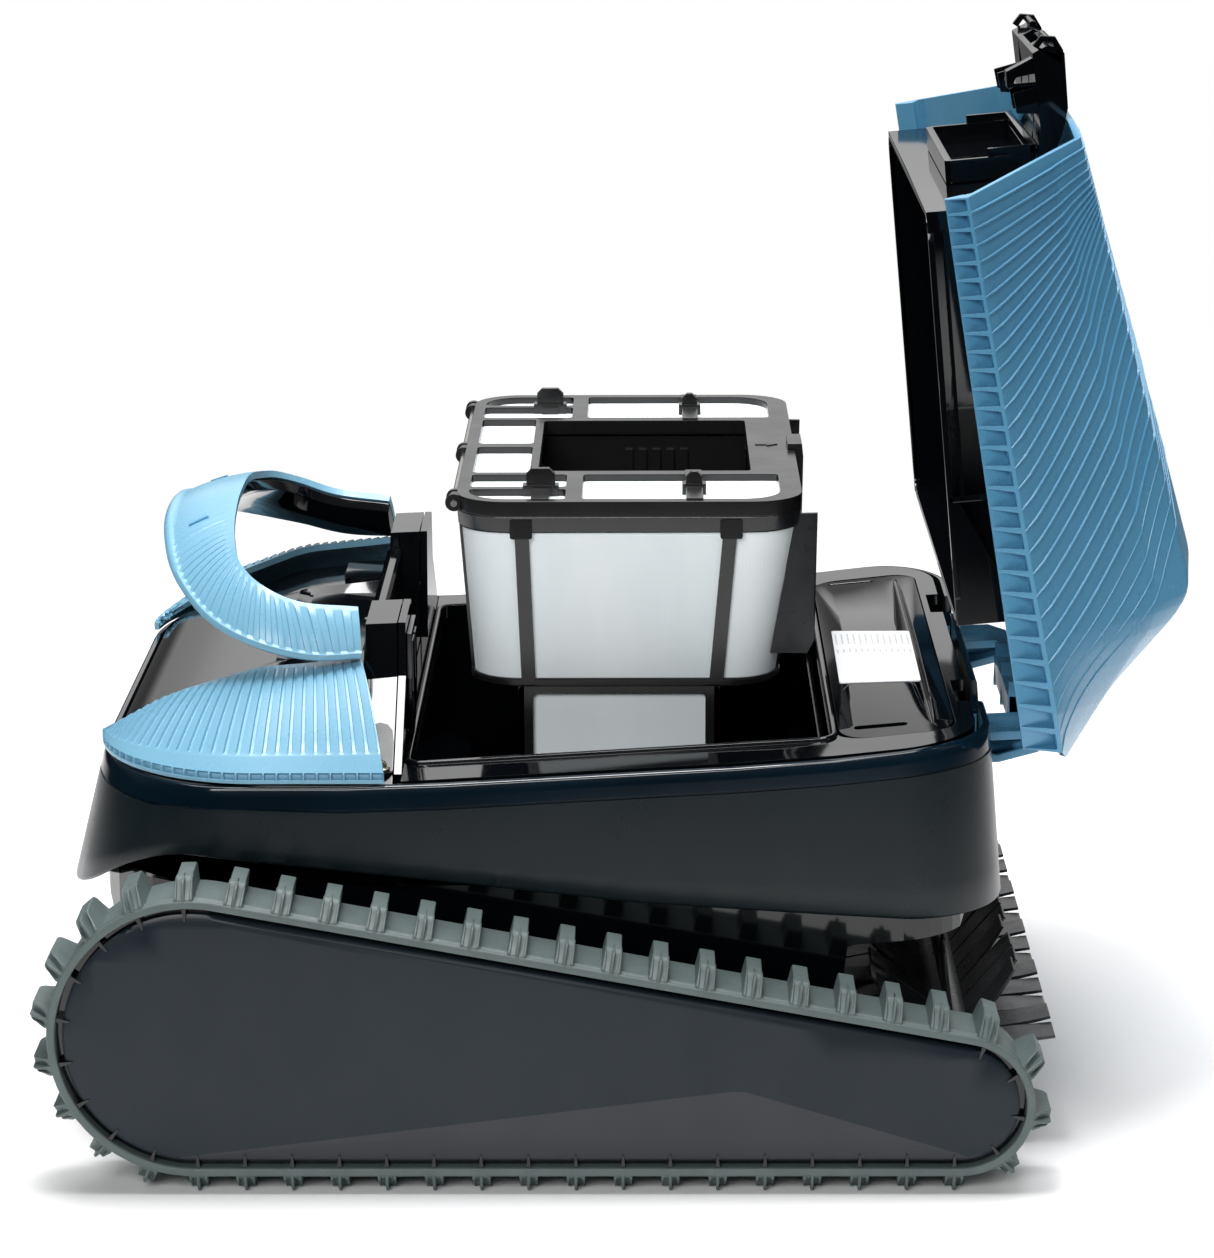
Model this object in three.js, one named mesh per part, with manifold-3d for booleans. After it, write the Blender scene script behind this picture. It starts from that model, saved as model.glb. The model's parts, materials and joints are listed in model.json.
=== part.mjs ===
// Robotic tracked pool cleaner: lid swung open on its rear hinge, filter basket lifted out of its bay.
// Millimetres, +Z up. +X points from the handle end to the hinge end, Y runs across the tracks.
// Below, x = 0 lies between the wheels; the finished robot is moved so that the origin is on the ground,
// under the middle of its overall length.
import * as THREE from "three";
import { mergeVertices } from "three/addons/utils/BufferGeometryUtils.js";
import Module from "manifold-3d";

const wasm = await Module();
wasm.setup();

// ---------- driving dimensions ----------
const GAP = 0.4; // clearance between neighbouring pieces
const WALL = 2.6; // moulded plastic wall

// Tracks: the belt's inner face is a loop round two circles whose lowest points share one height.
// `foot`, `shoulder` and `tip` are distances of a lug's root, bevel and top from the belt's inner face.
const TRACK = {
  y0: 173, y1: 205, inner: 9, belt: 2.6, lugs: 46, phase: -2.2, foot: 1.2, shoulder: 4.4, tip: 11,
  lugHalf: 2.9,
};
const FRONT_WHEEL = { x: -140, r: 55 };
const REAR_WHEEL = { x: 168.5, r: 26.5 };
FRONT_WHEEL.z = TRACK.inner + FRONT_WHEEL.r;
REAR_WHEEL.z = TRACK.inner + REAR_WHEEL.r;
const SPROCKET = { x: 33, r: 13.8 };
SPROCKET.z = TRACK.inner + SPROCKET.r + 0.8;
const COVER = { y0: 188, y1: 203.5, inset: 1.6 };
const FRAME = { y0: 166.5, y1: 171.5, inset: 4 };

// Body plan: a rounded rectangle.
const BODY = { front: -201, rear: 190, half: 165, frontRx: 72, frontRy: 80, rearR: 42, wall: 3 };
// The nose leans back towards the rim: by this much at the very front, dying out at `from`.
const NOSE = { from: -110, lean: 15 };
const HULL = { half: 152, floor: 16, inset: 13 };

// Filter bay, and the panel behind it.
const BAY = { x0: -57, x1: 118.5, half: 134, floor: 31, top: 151 };
const DECK_PLATE = { x0: 121.5, x1: 169, half: 137, edge: 168.5, crown: 10.5 };
const BULKHEAD = { x0: -60.6, x1: -57.6 };

// Lid: drawn closed, then turned open about its hinge.
const HINGE = { x: 177.3, z: 155.3, open: 84.9 };
const LID = { wall: 2.5, rimHalf: 159 };
const DUCT = { x0: -64, y: 58, z0: 166, z1: 204, wall: 3 };
const TRAY = { x0: -54, x1: 116, half: 130, low: 153, shoulder: 184, roof: 201, roofHalf: 118 };

// Filter basket, drawn lifted.
const BASKET = { x0: -36, x1: 107, half: 116, corner: 21, top: 265, waist: 184, foot: 110 };
const TUNNEL = { x0: -3.8, x1: 87.3, half: 55 };
const POD = { x0: -11, x1: 73, half: 104, holeX0: -1.5, holeX1: 66.5 };
const MOTOR = { x0: 3, x1: 62, half: 50, low: 19.8, top: 148 };

// Middle of the open robot, and how far the lugs reach below the height where the drawing starts.
const MIDDLE = { x: 36.1, z: 2 };

// Rear brush.
const BRUSH = { x: 170, z: 40, r: 42, core: 11, half: 151, rows: 8, thick: 1.4, phase: 0.122 };

// ---------- materials ----------
const plastic = (color, roughness = 0.45, metalness = 0) =>
  new THREE.MeshStandardMaterial({ color, roughness, metalness });
const BLUE = () => plastic(0x6fa8c9, 0.4);
const GLOSS_BLACK = () => plastic(0x0b0d10, 0.12);
const MATTE_HULL = () => plastic(0x20272c, 0.5);
const SLATE = () => plastic(0x3b4449, 0.4);
const RUBBER = () => plastic(0x5f6c6a, 0.75);
const DARK_RUBBER = () => plastic(0x17181a, 0.6);
const FRAME_BLACK = () => plastic(0x343435, 0.5);
const MESH_WHITE = () => plastic(0xc9d5d9, 0.85);
const WHITE = () => plastic(0xf2f3f4, 0.6);
const STEEL = () => plastic(0xb6b8bb, 0.3, 1);
const SMOKED = () => plastic(0x3a3a42, 0.15);
const BOARD = () => plastic(0x1f5a3a, 0.6);

// ---------- solids from three.js geometry ----------
function toSolid(geometry) {
  const bare = geometry.index ? geometry.toNonIndexed() : geometry.clone();
  bare.deleteAttribute("normal");
  bare.deleteAttribute("uv");
  const merged = mergeVertices(bare, 1e-4);
  return new wasm.Manifold(
    new wasm.Mesh({
      numProp: 3,
      vertProperties: new Float32Array(merged.attributes.position.array),
      triVerts: new Uint32Array(merged.index.array),
    })
  );
}

function toGeometry(solid) {
  const mesh = solid.getMesh();
  const geometry = new THREE.BufferGeometry();
  geometry.setAttribute("position", new THREE.BufferAttribute(mesh.vertProperties, 3));
  geometry.setIndex(new THREE.BufferAttribute(mesh.triVerts, 1));
  geometry.computeVertexNormals();
  return geometry;
}

const join = (first, ...rest) =>
  toGeometry(rest.reduce((whole, part) => whole.add(toSolid(part)), toSolid(first)));
const cut = (first, ...rest) =>
  toGeometry(rest.reduce((whole, part) => whole.subtract(toSolid(part)), toSolid(first)));
const common = (a, b) => toGeometry(toSolid(a).intersect(toSolid(b)));

function block(x0, x1, y0, y1, z0, z1) {
  const geometry = new THREE.BoxGeometry(x1 - x0, y1 - y0, z1 - z0);
  return geometry.translate((x0 + x1) / 2, (y0 + y1) / 2, (z0 + z1) / 2);
}

// A cylinder along Y, and one along Z.
function rodY(x, z, r, y0, y1, sides = 20) {
  const geometry = new THREE.CylinderGeometry(r, r, y1 - y0, sides);
  return geometry.translate(x, (y0 + y1) / 2, z);
}

function rodZ(x, y, r, z0, z1, sides = 20) {
  const geometry = new THREE.CylinderGeometry(r, r, z1 - z0, sides).rotateX(Math.PI / 2);
  return geometry.translate(x, y, (z0 + z1) / 2);
}

function extrude(points, depth, holes = []) {
  const shape = new THREE.Shape(points.map(([a, b]) => new THREE.Vector2(a, b)));
  for (const hole of holes) {
    shape.holes.push(new THREE.Path(hole.map(([a, b]) => new THREE.Vector2(a, b))));
  }
  return new THREE.ExtrudeGeometry(shape, { depth, bevelEnabled: false });
}

// An outline in the XZ plane, drawn out along Y.
const sidePlate = (points, y0, y1, holes) =>
  extrude(points, y1 - y0, holes).rotateX(Math.PI / 2).translate(0, y1, 0);
// An outline in the XY plane, drawn out along Z.
const flatPlate = (points, z0, z1, holes) => extrude(points, z1 - z0, holes).translate(0, 0, z0);
// An outline in the YZ plane, drawn out along X.
function crossPlate(points, x0, x1, holes) {
  const geometry = extrude(points, x1 - x0, holes);
  const turn = new THREE.Matrix4().makeBasis(
    new THREE.Vector3(0, 1, 0),
    new THREE.Vector3(0, 0, 1),
    new THREE.Vector3(1, 0, 0)
  );
  return geometry.applyMatrix4(turn).translate(x0, 0, 0);
}

// A block on one side (s = 1 left, -1 right), its distances from the centre plane given as a and b.
const sideBlock = (s, x0, x1, a, b, z0, z1) =>
  block(x0, x1, Math.min(s * a, s * b), Math.max(s * a, s * b), z0, z1);

const rectangle = (a0, a1, b0, b1) => [[a0, b0], [a1, b0], [a1, b1], [a0, b1]];

// A rectangle with round corners, each corner made of `steps` chords.
function roundRectangle(a0, a1, b0, b1, r, steps = 5) {
  const points = [];
  const centres = [[a1 - r, b1 - r, 0], [a0 + r, b1 - r, 1], [a0 + r, b0 + r, 2], [a1 - r, b0 + r, 3]];
  for (const [ca, cb, quarter] of centres) {
    for (let i = 0; i <= steps; i += 1) {
      const angle = (quarter + i / steps) * (Math.PI / 2);
      points.push([ca + r * Math.cos(angle), cb + r * Math.sin(angle)]);
    }
  }
  return points;
}

// A closed body between rings that all have the same number of points, capped at both ends.
function loft(rings) {
  const count = rings[0].length;
  const positions = rings.flat(2);
  const index = [];
  for (let r = 0; r + 1 < rings.length; r += 1) {
    for (let i = 0; i < count; i += 1) {
      const j = (i + 1) % count;
      const [a, b, c, d] = [r * count + i, r * count + j, (r + 1) * count + j, (r + 1) * count + i];
      index.push(a, b, c, a, c, d);
    }
  }
  for (const [ring, flip] of [[0, true], [rings.length - 1, false]]) {
    const centre = [0, 1, 2].map(k => rings[ring].reduce((sum, p) => sum + p[k], 0) / count);
    positions.push(...centre);
    const hub = positions.length / 3 - 1;
    for (let i = 0; i < count; i += 1) {
      const [a, b] = [ring * count + i, ring * count + ((i + 1) % count)];
      index.push(hub, flip ? b : a, flip ? a : b);
    }
  }
  return outward(positions, index);
}

// A ring-shaped closed body: the section's points go round once for each station.
function hoop(stations) {
  const [n, m] = [stations.length, stations[0].length];
  const index = [];
  for (let i = 0; i < n; i += 1) {
    for (let j = 0; j < m; j += 1) {
      const [i2, j2] = [(i + 1) % n, (j + 1) % m];
      const [a, b, c, d] = [i * m + j, i2 * m + j, i2 * m + j2, i * m + j2];
      index.push(a, b, c, a, c, d);
    }
  }
  return outward(stations.flat(2), index);
}

// A sheet of even thickness: a grid of points on its face, and the same grid moved along its normals.
function sheet(grid, thickness) {
  const [rows, cols] = [grid.length, grid[0].length];
  const at = (r, c) => new THREE.Vector3(...grid[r][c]);
  const back = grid.map((row, r) =>
    row.map((_, c) => {
      const across = at(r, Math.min(c + 1, cols - 1)).sub(at(r, Math.max(c - 1, 0)));
      const along = at(Math.min(r + 1, rows - 1), c).sub(at(Math.max(r - 1, 0), c));
      const normal = across.cross(along).normalize();
      return at(r, c).addScaledVector(normal, -thickness).toArray();
    })
  );
  return slab(grid, back);
}

// A closed body between two grids of points with the same rows and columns.
function slab(face, back) {
  const [rows, cols] = [face.length, face[0].length];
  const size = rows * cols;
  const index = [];
  const id = (r, c, side) => side * size + r * cols + c;
  const quad = (a, b, c, d) => index.push(a, b, c, a, c, d);
  for (let r = 0; r + 1 < rows; r += 1) {
    for (let c = 0; c + 1 < cols; c += 1) {
      quad(id(r, c, 0), id(r, c + 1, 0), id(r + 1, c + 1, 0), id(r + 1, c, 0));
      quad(id(r, c, 1), id(r + 1, c, 1), id(r + 1, c + 1, 1), id(r, c + 1, 1));
    }
  }
  for (let c = 0; c + 1 < cols; c += 1) {
    quad(id(0, c, 0), id(0, c, 1), id(0, c + 1, 1), id(0, c + 1, 0));
    quad(id(rows - 1, c, 0), id(rows - 1, c + 1, 0), id(rows - 1, c + 1, 1), id(rows - 1, c, 1));
  }
  for (let r = 0; r + 1 < rows; r += 1) {
    quad(id(r, 0, 0), id(r + 1, 0, 0), id(r + 1, 0, 1), id(r, 0, 1));
    quad(id(r, cols - 1, 0), id(r, cols - 1, 1), id(r + 1, cols - 1, 1), id(r + 1, cols - 1, 0));
  }
  return outward([...face.flat(2), ...back.flat(2)], index);
}

// A geometry whose faces point outwards: the winding is turned round when the volume comes out negative.
function outward(positions, index) {
  let volume = 0;
  const p = k => new THREE.Vector3(positions[3 * k], positions[3 * k + 1], positions[3 * k + 2]);
  for (let i = 0; i < index.length; i += 3) {
    volume += p(index[i]).dot(p(index[i + 1]).cross(p(index[i + 2])));
  }
  if (volume < 0) {
    for (let i = 0; i < index.length; i += 3) {
      [index[i + 1], index[i + 2]] = [index[i + 2], index[i + 1]];
    }
  }
  const geometry = new THREE.BufferGeometry();
  geometry.setAttribute("position", new THREE.Float32BufferAttribute(positions, 3));
  geometry.setIndex(index);
  geometry.computeVertexNormals();
  return geometry;
}

// Mirrors a geometry to the other side of the centre plane.
function mirrored(geometry) {
  const flipped = (geometry.index ? geometry.toNonIndexed() : geometry.clone()).scale(1, -1, 1);
  const position = flipped.attributes.position.array;
  for (let i = 0; i < position.length; i += 9) {
    for (let k = 0; k < 3; k += 1) {
      [position[i + 3 + k], position[i + 6 + k]] = [position[i + 6 + k], position[i + 3 + k]];
    }
  }
  return flipped;
}

// Straight-line interpolation through [x, value] pairs.
function graph(pairs, x) {
  if (x <= pairs[0][0]) {
    return pairs[0][1];
  }
  for (let i = 1; i < pairs.length; i += 1) {
    if (x <= pairs[i][0]) {
      const [[x0, v0], [x1, v1]] = [pairs[i - 1], pairs[i]];
      return v0 + ((v1 - v0) * (x - x0)) / (x1 - x0);
    }
  }
  return pairs[pairs.length - 1][1];
}

const range = count => Array.from({ length: count }, (_, i) => i);
const spread = (a, b, steps) => range(steps + 1).map(i => a + ((b - a) * i) / steps);

const robot = new THREE.Group();
const lid = new THREE.Group();
robot.add(lid);

function piece(name, geometry, material, group = robot) {
  const mesh = new THREE.Mesh(geometry, material);
  mesh.name = name;
  group.add(mesh);
  return mesh;
}

// The same piece on the near side (right, -Y) and the far side (left, +Y).
function pair(name, geometry, material, group = robot) {
  piece(`${name}_left`, geometry, material(), group);
  piece(`${name}_right`, mirrored(geometry), material(), group);
}

// ---------- body heights ----------
const RIM = [[-201, 157.4], [-64, 157], [23, 162], [104, 166.5], [165, 173], [190, 174]];
const rimHeight = x => graph(RIM, x);
const SKIRT = [
  [-201, 98], [-190, 107], [-176, 119], [-152, 129], [-120, 126], [-38, 117], [40, 108], [146, 101],
  [190, 101],
];
const skirtHeight = x => graph(SKIRT, x);

// Body outline in plan, moved inwards by `inset`, going round from the middle of the rear end.
function bodyOutline(inset = 0, steps = 8) {
  const half = BODY.half - inset;
  const front = BODY.front + inset;
  const rear = BODY.rear - inset;
  const [rx, ry, rr] = [BODY.frontRx - inset, BODY.frontRy - inset, BODY.rearR - inset];
  const points = [];
  const corner = (cx, cy, ax, ay, from) => {
    for (let i = 0; i <= steps; i += 1) {
      const angle = from + ((i / steps) * Math.PI) / 2;
      points.push([cx + ax * Math.cos(angle), cy + ay * Math.sin(angle)]);
    }
  };
  corner(rear - rr, half - rr, rr, rr, 0);
  points.push([60, half], [-50, half]);
  corner(front + rx, half - ry, rx, ry, Math.PI / 2);
  corner(front + rx, ry - half, rx, ry, Math.PI);
  points.push([-50, -half], [60, -half]);
  corner(rear - rr, rr - half, rr, rr, (3 * Math.PI) / 2);
  return points;
}

// The nose and the tail lean back towards the rim.
const noseLean = x => graph([[BODY.front, NOSE.lean], [NOSE.from, 0]], x);
const tailLean = x => graph([[100, 0], [190, 6]], x);
const leanIn = (x, t) => x + t * (noseLean(x) - tailLean(x));

// Notches in the rear edge of the body that the lid's hinge arms swing through.
const armNotches = () => [-1, 1].map(s => sideBlock(s, 172.6, 200, 60, 94, 145.5, 185));

function bodyShell() {
  const inner = bodyOutline(BODY.wall);
  const shell = hoop(
    bodyOutline().map(([x, y], i) => {
      const [xi, yi] = inner[i];
      const [low, high] = [skirtHeight(x), rimHeight(x)];
      const level = t => low + (high - low) * t;
      const outer = [0, 0.45, 0.84, 1].map(t => [leanIn(x, t), y * (1 - 0.012 * t * t), level(t)]);
      const inside = [1, 0.5, 0].map(t => [leanIn(xi, t), yi * (1 - 0.012 * t * t), level(t)]);
      return [...outer, ...inside];
    })
  );
  return cut(shell, ...armNotches());
}

// Water inlets through the floors of the hull and the bay, one each side of the motor unit.
const INLET = { x0: 8, x1: 58, y0: 62, y1: 98 };
const inletSlots = () =>
  [-1, 1].map(s => sideBlock(s, INLET.x0, INLET.x1, INLET.y0, INLET.y1, 0, 50));

// The lower hull is a tub: a side profile cut to the body's plan, hollow from above.
function lowerHull() {
  const profile = d => [
    [-148 + d, HULL.floor + d], [116 - d, HULL.floor + d], [122 - d, 60], [125 - d, 86 + d],
    [172 - d, 90 + d], [176 - d, 99.5], [176 - d, 112], [-186 + d, 112], [-186 + d, 104], [-172 + d, 58],
  ];
  const outline = inset => bodyOutline(inset).map(([x, y]) => [x, y]);
  const solid = d =>
    common(
      sidePlate(profile(d), -HULL.half + d, HULL.half - d),
      flatPlate(outline(HULL.inset + d), 0, d > 0 ? 130 : 112)
    );
  const inside = join(solid(WALL + 0.4), block(-150, 110, -100, 100, 60, 130));
  const shaft = rodY(SPROCKET.x, SPROCKET.z, 4.6, -HULL.half - 1, HULL.half + 1);
  return cut(solid(0), inside, shaft, ...inletSlots());
}

piece("body_shell", bodyShell(), MATTE_HULL());
piece("lower_hull", lowerHull(), GLOSS_BLACK());

// ---------- filter bay ----------
function filterBay() {
  const { x0, x1, half, floor, top } = BAY;
  const profile = d => [
    [x0 + d, top], [x0 + d, 96 + d], [-44 + d, 88 + d], [-44 + d, floor + d], [102 - d, floor + d],
    [102 - d, 84 + d], [x1 - d, 98 + d], [x1 - d, top],
  ];
  const outer = sidePlate(profile(0), -half - WALL, half + WALL);
  const inside = profile(WALL).map(([x, z]) => [x, z === top ? top + 5 : z]);
  const inner = sidePlate(inside, -half, half);
  const motorHole = block(MOTOR.x0 - 1, MOTOR.x1 + 1, -MOTOR.half - 1, MOTOR.half + 1, floor - 5, floor + 5);
  return cut(outer, inner, motorHole, ...inletSlots());
}
piece("filter_bay", filterBay(), GLOSS_BLACK());

// Gloss frame round the bay's mouth and round the rear panel, following the sloping rim.
function topFrame() {
  const outline = bodyOutline(BODY.wall + 3.4).filter(([x]) => x > -57).map(([x, y]) => [leanIn(x, 1), y]);
  const left = outline.filter(([, y]) => y > 0);
  const right = outline.filter(([, y]) => y < 0);
  const y = BODY.half - BODY.wall - 3.4;
  const plan = [...left, [-57, y], [-57, -y], ...right];
  const mouth = roundRectangle(BAY.x0 + 3, BAY.x1, -BAY.half, BAY.half, 4, 2);
  const deckHole = roundRectangle(DECK_PLATE.x0 - 0.8, DECK_PLATE.x1 + 0.8, -DECK_PLATE.half - 0.8,
    DECK_PLATE.half + 0.8, 13, 3);
  const stations = [-60, 23, 104, 165, 195];
  const above = stations.map(x => [x, rimHeight(x) + 1]);
  const below = stations.map(x => [x, rimHeight(x) - 4]).reverse();
  const plate = flatPlate(plan, 140, 190, [mouth, deckHole]);
  const frame = common(plate, sidePlate([...above, ...below], -170, 170));
  return cut(frame, ...armNotches());
}
piece("top_frame", topFrame(), GLOSS_BLACK());

// ---------- front: deck, fenders, handle ----------
// Outer edge of the front corner, from the fender's rear end (u = 0) to its tip (u = 1).
function fenderEdge(u) {
  const straight = 0.34;
  const y = BODY.half - 3;
  const [cx, cy] = [BODY.front + NOSE.lean - 2 + BODY.frontRx, y - BODY.frontRy + 2];
  if (u < straight) {
    return [-64 + ((cx + 64) * u) / straight, y];
  }
  const angle = (((u - straight) / (1 - straight)) * 0.93 * Math.PI) / 2;
  return [cx - (BODY.frontRx - 1) * Math.sin(angle), cy + (BODY.frontRy - 2) * Math.cos(angle)];
}

// Inner edge of the fender, along the side of the hood.
const fenderInner = u => [-76 - 106 * u, graph([[0, 113], [0.35, 111], [1, 98]], u)];
const fenderInnerHeight = u => graph([[0, 198], [0.4, 194], [0.75, 181], [1, 164]], u);

// Height of the fender's face at u along it and v across it, from the inner edge to the rim.
function fenderPoint(u, v, drop = 0) {
  const [ex, ey] = fenderEdge(u);
  const [ix, iy] = fenderInner(u);
  const high = fenderInnerHeight(u);
  const low = 162;
  const z = high + (low - high) * v ** 1.5;
  return [ix + (ex - ix) * v, iy + (ey - iy) * v, z - drop];
}

function fender() {
  const rows = spread(0, 1, 14).map(u => [
    ...spread(0, 1, 4).map(v => fenderPoint(u, v)),
    [...fenderEdge(u), 158.4],
  ]);
  const back = spread(0, 1, 14).map(u => {
    const inwards = spread(0, 1, 4).map(v => fenderPoint(u, v * 0.985, 3.2));
    const [x, y] = fenderPoint(u, 0.975);
    return [...inwards, [x, y, 158.4]];
  });
  return slab(rows, back);
}
pair("fender", fender(), BLUE);

// The hood between the fenders and its flanks: one gloss moulding, `deckHeight` above each point.
const hoodSpine = x =>
  graph([[-184, 157], [-176, 165], [-150, 174], [-113, 185], [-75.8, 189], [-74.2, 211], [-50, 212]], x);
const hoodHalf = x => graph([[-184, 90], [-150, 97], [-76, 106]], x);

// Half width inside the body shell's rim, less a clearance.
function deckHalf(x) {
  const [cx, cy] = [BODY.front + BODY.frontRx, BODY.half - BODY.frontRy];
  const slope = NOSE.lean / (NOSE.from - BODY.front);
  const upright = (x - slope * NOSE.from) / (1 - slope); // the same place before the nose leans back
  const reach = Math.min(1, Math.max(0, (cx - upright) / (BODY.frontRx - BODY.wall)));
  const half = cy + (BODY.frontRy - BODY.wall) * Math.sqrt(1 - reach * reach);
  return Math.min(0.988 * half - 1.5, 157);
}
const FLANK = [[-184, 155], [-176, 159], [-160, 168], [-120, 184], [-76, 188], [-56, 190]];
const flankHeight = x => graph(FLANK, x);

// The well between the hood's shoulders takes the front of the closed lid.
function deckHeight(x, y) {
  const a = Math.abs(y);
  const [hood, half] = [hoodSpine(x), hoodHalf(x)];
  const well = graph([[-116, hood], [-111, 183], [-73.6, 183], [-69.5, 163], [-50, 163]], x);
  const sunk = x < -116 ? hood : well;
  const edge = 153.5;
  return graph([[60, sunk], [65, hood], [half, hood], [half + 4, flankHeight(x)], [deckHalf(x), edge]], a);
}

const SCREW = { x: -67, y: 148, seat: 160 };

function frontDeck() {
  const xs = [-180.5, -174, -164, -148, -130, -116, -111, -95, -75.8, -74.2, -73, -69.5, -61.2];
  const row = (x, drop) => {
    const [half, outer] = [hoodHalf(x), deckHalf(x)];
    const ys = [0, 60, 65, half, half + 4, half + 4 + (outer - half - 4) / 2, outer];
    const all = [...ys.slice(1).reverse().map(y => -y), ...ys];
    return all.map(y => [x, y, deckHeight(x, y) - drop]);
  };
  const deck = slab(xs.map(x => row(x, 0)), xs.map(x => row(x, 3)));
  const posts = [-1, 1].map(s => rodZ(SCREW.x, s * SCREW.y, 5.6, 152.5, SCREW.seat, 16));
  const pockets = [-1, 1].map(s => rodZ(SCREW.x, s * SCREW.y, 5.6, SCREW.seat, 180, 16));
  return cut(join(deck, ...posts), ...pockets);
}
piece("front_deck", frontDeck(), GLOSS_BLACK());

// Wall between the front compartment and the bay, closed at the top along the hood's section.
function bulkhead() {
  const half = hoodHalf(-58);
  const ys = [0, 60, 65, half, half + 4, 150];
  const top = [...ys.slice(1).reverse().map(y => -y), ...ys].map(y => [y, deckHeight(-58, y)]);
  return crossPlate([[-150, 134], [150, 134], ...top.reverse()], BULKHEAD.x0, BULKHEAD.x1);
}
piece("front_bulkhead", bulkhead(), GLOSS_BLACK());

// Handle: a band that rises from both sides of the hood and crosses over in front of it.
const HANDLE_INNER = [[-77, 108, 219], [-102, 110, 222], [-117, 106, 228], [-127, 92, 234], [-132, 65, 240],
  [-134, 30, 246]];
const HANDLE_OUTER = [[-75, 120, 200], [-95, 123, 200], [-117, 123, 205], [-137, 112, 212], [-156, 80, 224],
  [-165, 40, 235]];

function handleEdge(points, middle) {
  const there = points.map(p => new THREE.Vector3(...p));
  const back = points.map(([x, y, z]) => new THREE.Vector3(x, -y, z)).reverse();
  return new THREE.CatmullRomCurve3([...there, new THREE.Vector3(...middle), ...back]);
}
const handleInner = handleEdge(HANDLE_INNER, [-134, 0, 248]);
const handleOuter = handleEdge(HANDLE_OUTER, [-167, 0, 239]);

// Points across the band, crowned by `crown`, then sunk by `depth` along the band's normal.
function handleGrid(crown, depth, margin) {
  const steps = 26;
  return range(steps + 1).map(i => {
    const t = i / steps;
    const [a, b] = [handleInner.getPoint(t), handleOuter.getPoint(t)];
    const along = handleInner.getTangent(t).add(handleOuter.getTangent(t)).normalize();
    const across = b.clone().sub(a);
    const normal = along.clone().cross(across).normalize();
    if (normal.z < 0) {
      normal.negate();
    }
    return spread(margin, 1 - margin, 3).map(v => {
      const lift = crown * 4 * v * (1 - v) - depth;
      return a.clone().addScaledVector(across, v).addScaledVector(normal, lift).toArray();
    });
  });
}
piece("handle", slab(handleGrid(2.2, 0, 0), handleGrid(2.2, 3.4, 0.03)), BLUE());
piece("handle_liner", slab(handleGrid(2.2, 4, 0.1), handleGrid(0, 9, 0.16)), GLOSS_BLACK());

// Smoked cover strip on the bay side of the bulkhead, near side.
function hoodClasp() {
  const profile = [[-57.2, 160], [-55.8, 161], [-55, 168], [-55.2, 196], [-56, 205], [-57.2, 205]];
  return sidePlate(profile, -103, -66);
}
piece("hood_clasp", hoodClasp(), SMOKED());

// ---------- rear panel and label ----------
const deckCrown = y => DECK_PLATE.edge + DECK_PLATE.crown * (1 - (y / DECK_PLATE.half) ** 2);

function crownedPlate(x0, x1, y0, y1, steps, raise, thickness) {
  const ys = spread(y0, y1, steps);
  const grid = lift => [x0, x1].map(x => ys.map(y => [x, y, deckCrown(y) + lift]));
  return slab(grid(raise), grid(raise - thickness));
}

function rearDeck() {
  const { x0, x1, half } = DECK_PLATE;
  const plan = flatPlate(roundRectangle(x0, x1, -half, half, 13, 4), 150, 190);
  const plate = common(crownedPlate(x0 - 1, x1 + 1, -half - 1, half + 1, 16, 0, 3), plan);
  const slots = [-1, 1].map(s => sideBlock(s, 128, 150, 124, 127, 150, 190));
  return cut(plate, ...slots);
}
piece("rear_deck", rearDeck(), GLOSS_BLACK());
piece("rating_label", crownedPlate(124.5, 160, -73, 6, 6, 0.5, 0.3), WHITE());

// ---------- screws beside the hood ----------
function screw() {
  const { x, y, seat } = SCREW;
  const washer = rodZ(x, y, 4.6, seat + 0.4, seat + 1.6);
  const head = rodZ(x, y, 3.2, seat + 1, seat + 4, 16);
  const socket = rodZ(x, y, 1.5, seat + 2.6, seat + 5, 6);
  return cut(join(washer, head), socket);
}
pair("screw", screw(), STEEL);

// ---------- tracks ----------
// Loop round both wheel circles, grown by `grow`: points, with the outward direction at each.
function trackLoop(grow, step) {
  const [a, b] = [FRONT_WHEEL, REAR_WHEEL];
  const points = [];
  const arc = (wheel, from, to) => {
    const count = Math.max(2, Math.round(((wheel.r + grow) * Math.abs(to - from)) / step));
    for (let i = 0; i <= count; i += 1) {
      const angle = from + ((to - from) * i) / count;
      const reach = wheel.r + grow;
      points.push([wheel.x + reach * Math.cos(angle), wheel.z + reach * Math.sin(angle)]);
    }
  };
  arc(b, -Math.PI / 2, topAngle(a, b));
  arc(a, topAngle(a, b), (3 * Math.PI) / 2);
  return points;
}

// Direction in which the upper run faces: both wheels touch the run along it.
function topAngle(a, b) {
  const span = Math.hypot(b.x - a.x, b.z - a.z);
  return Math.atan2(b.z - a.z, b.x - a.x) + Math.acos((a.r - b.r) / span);
}

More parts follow.
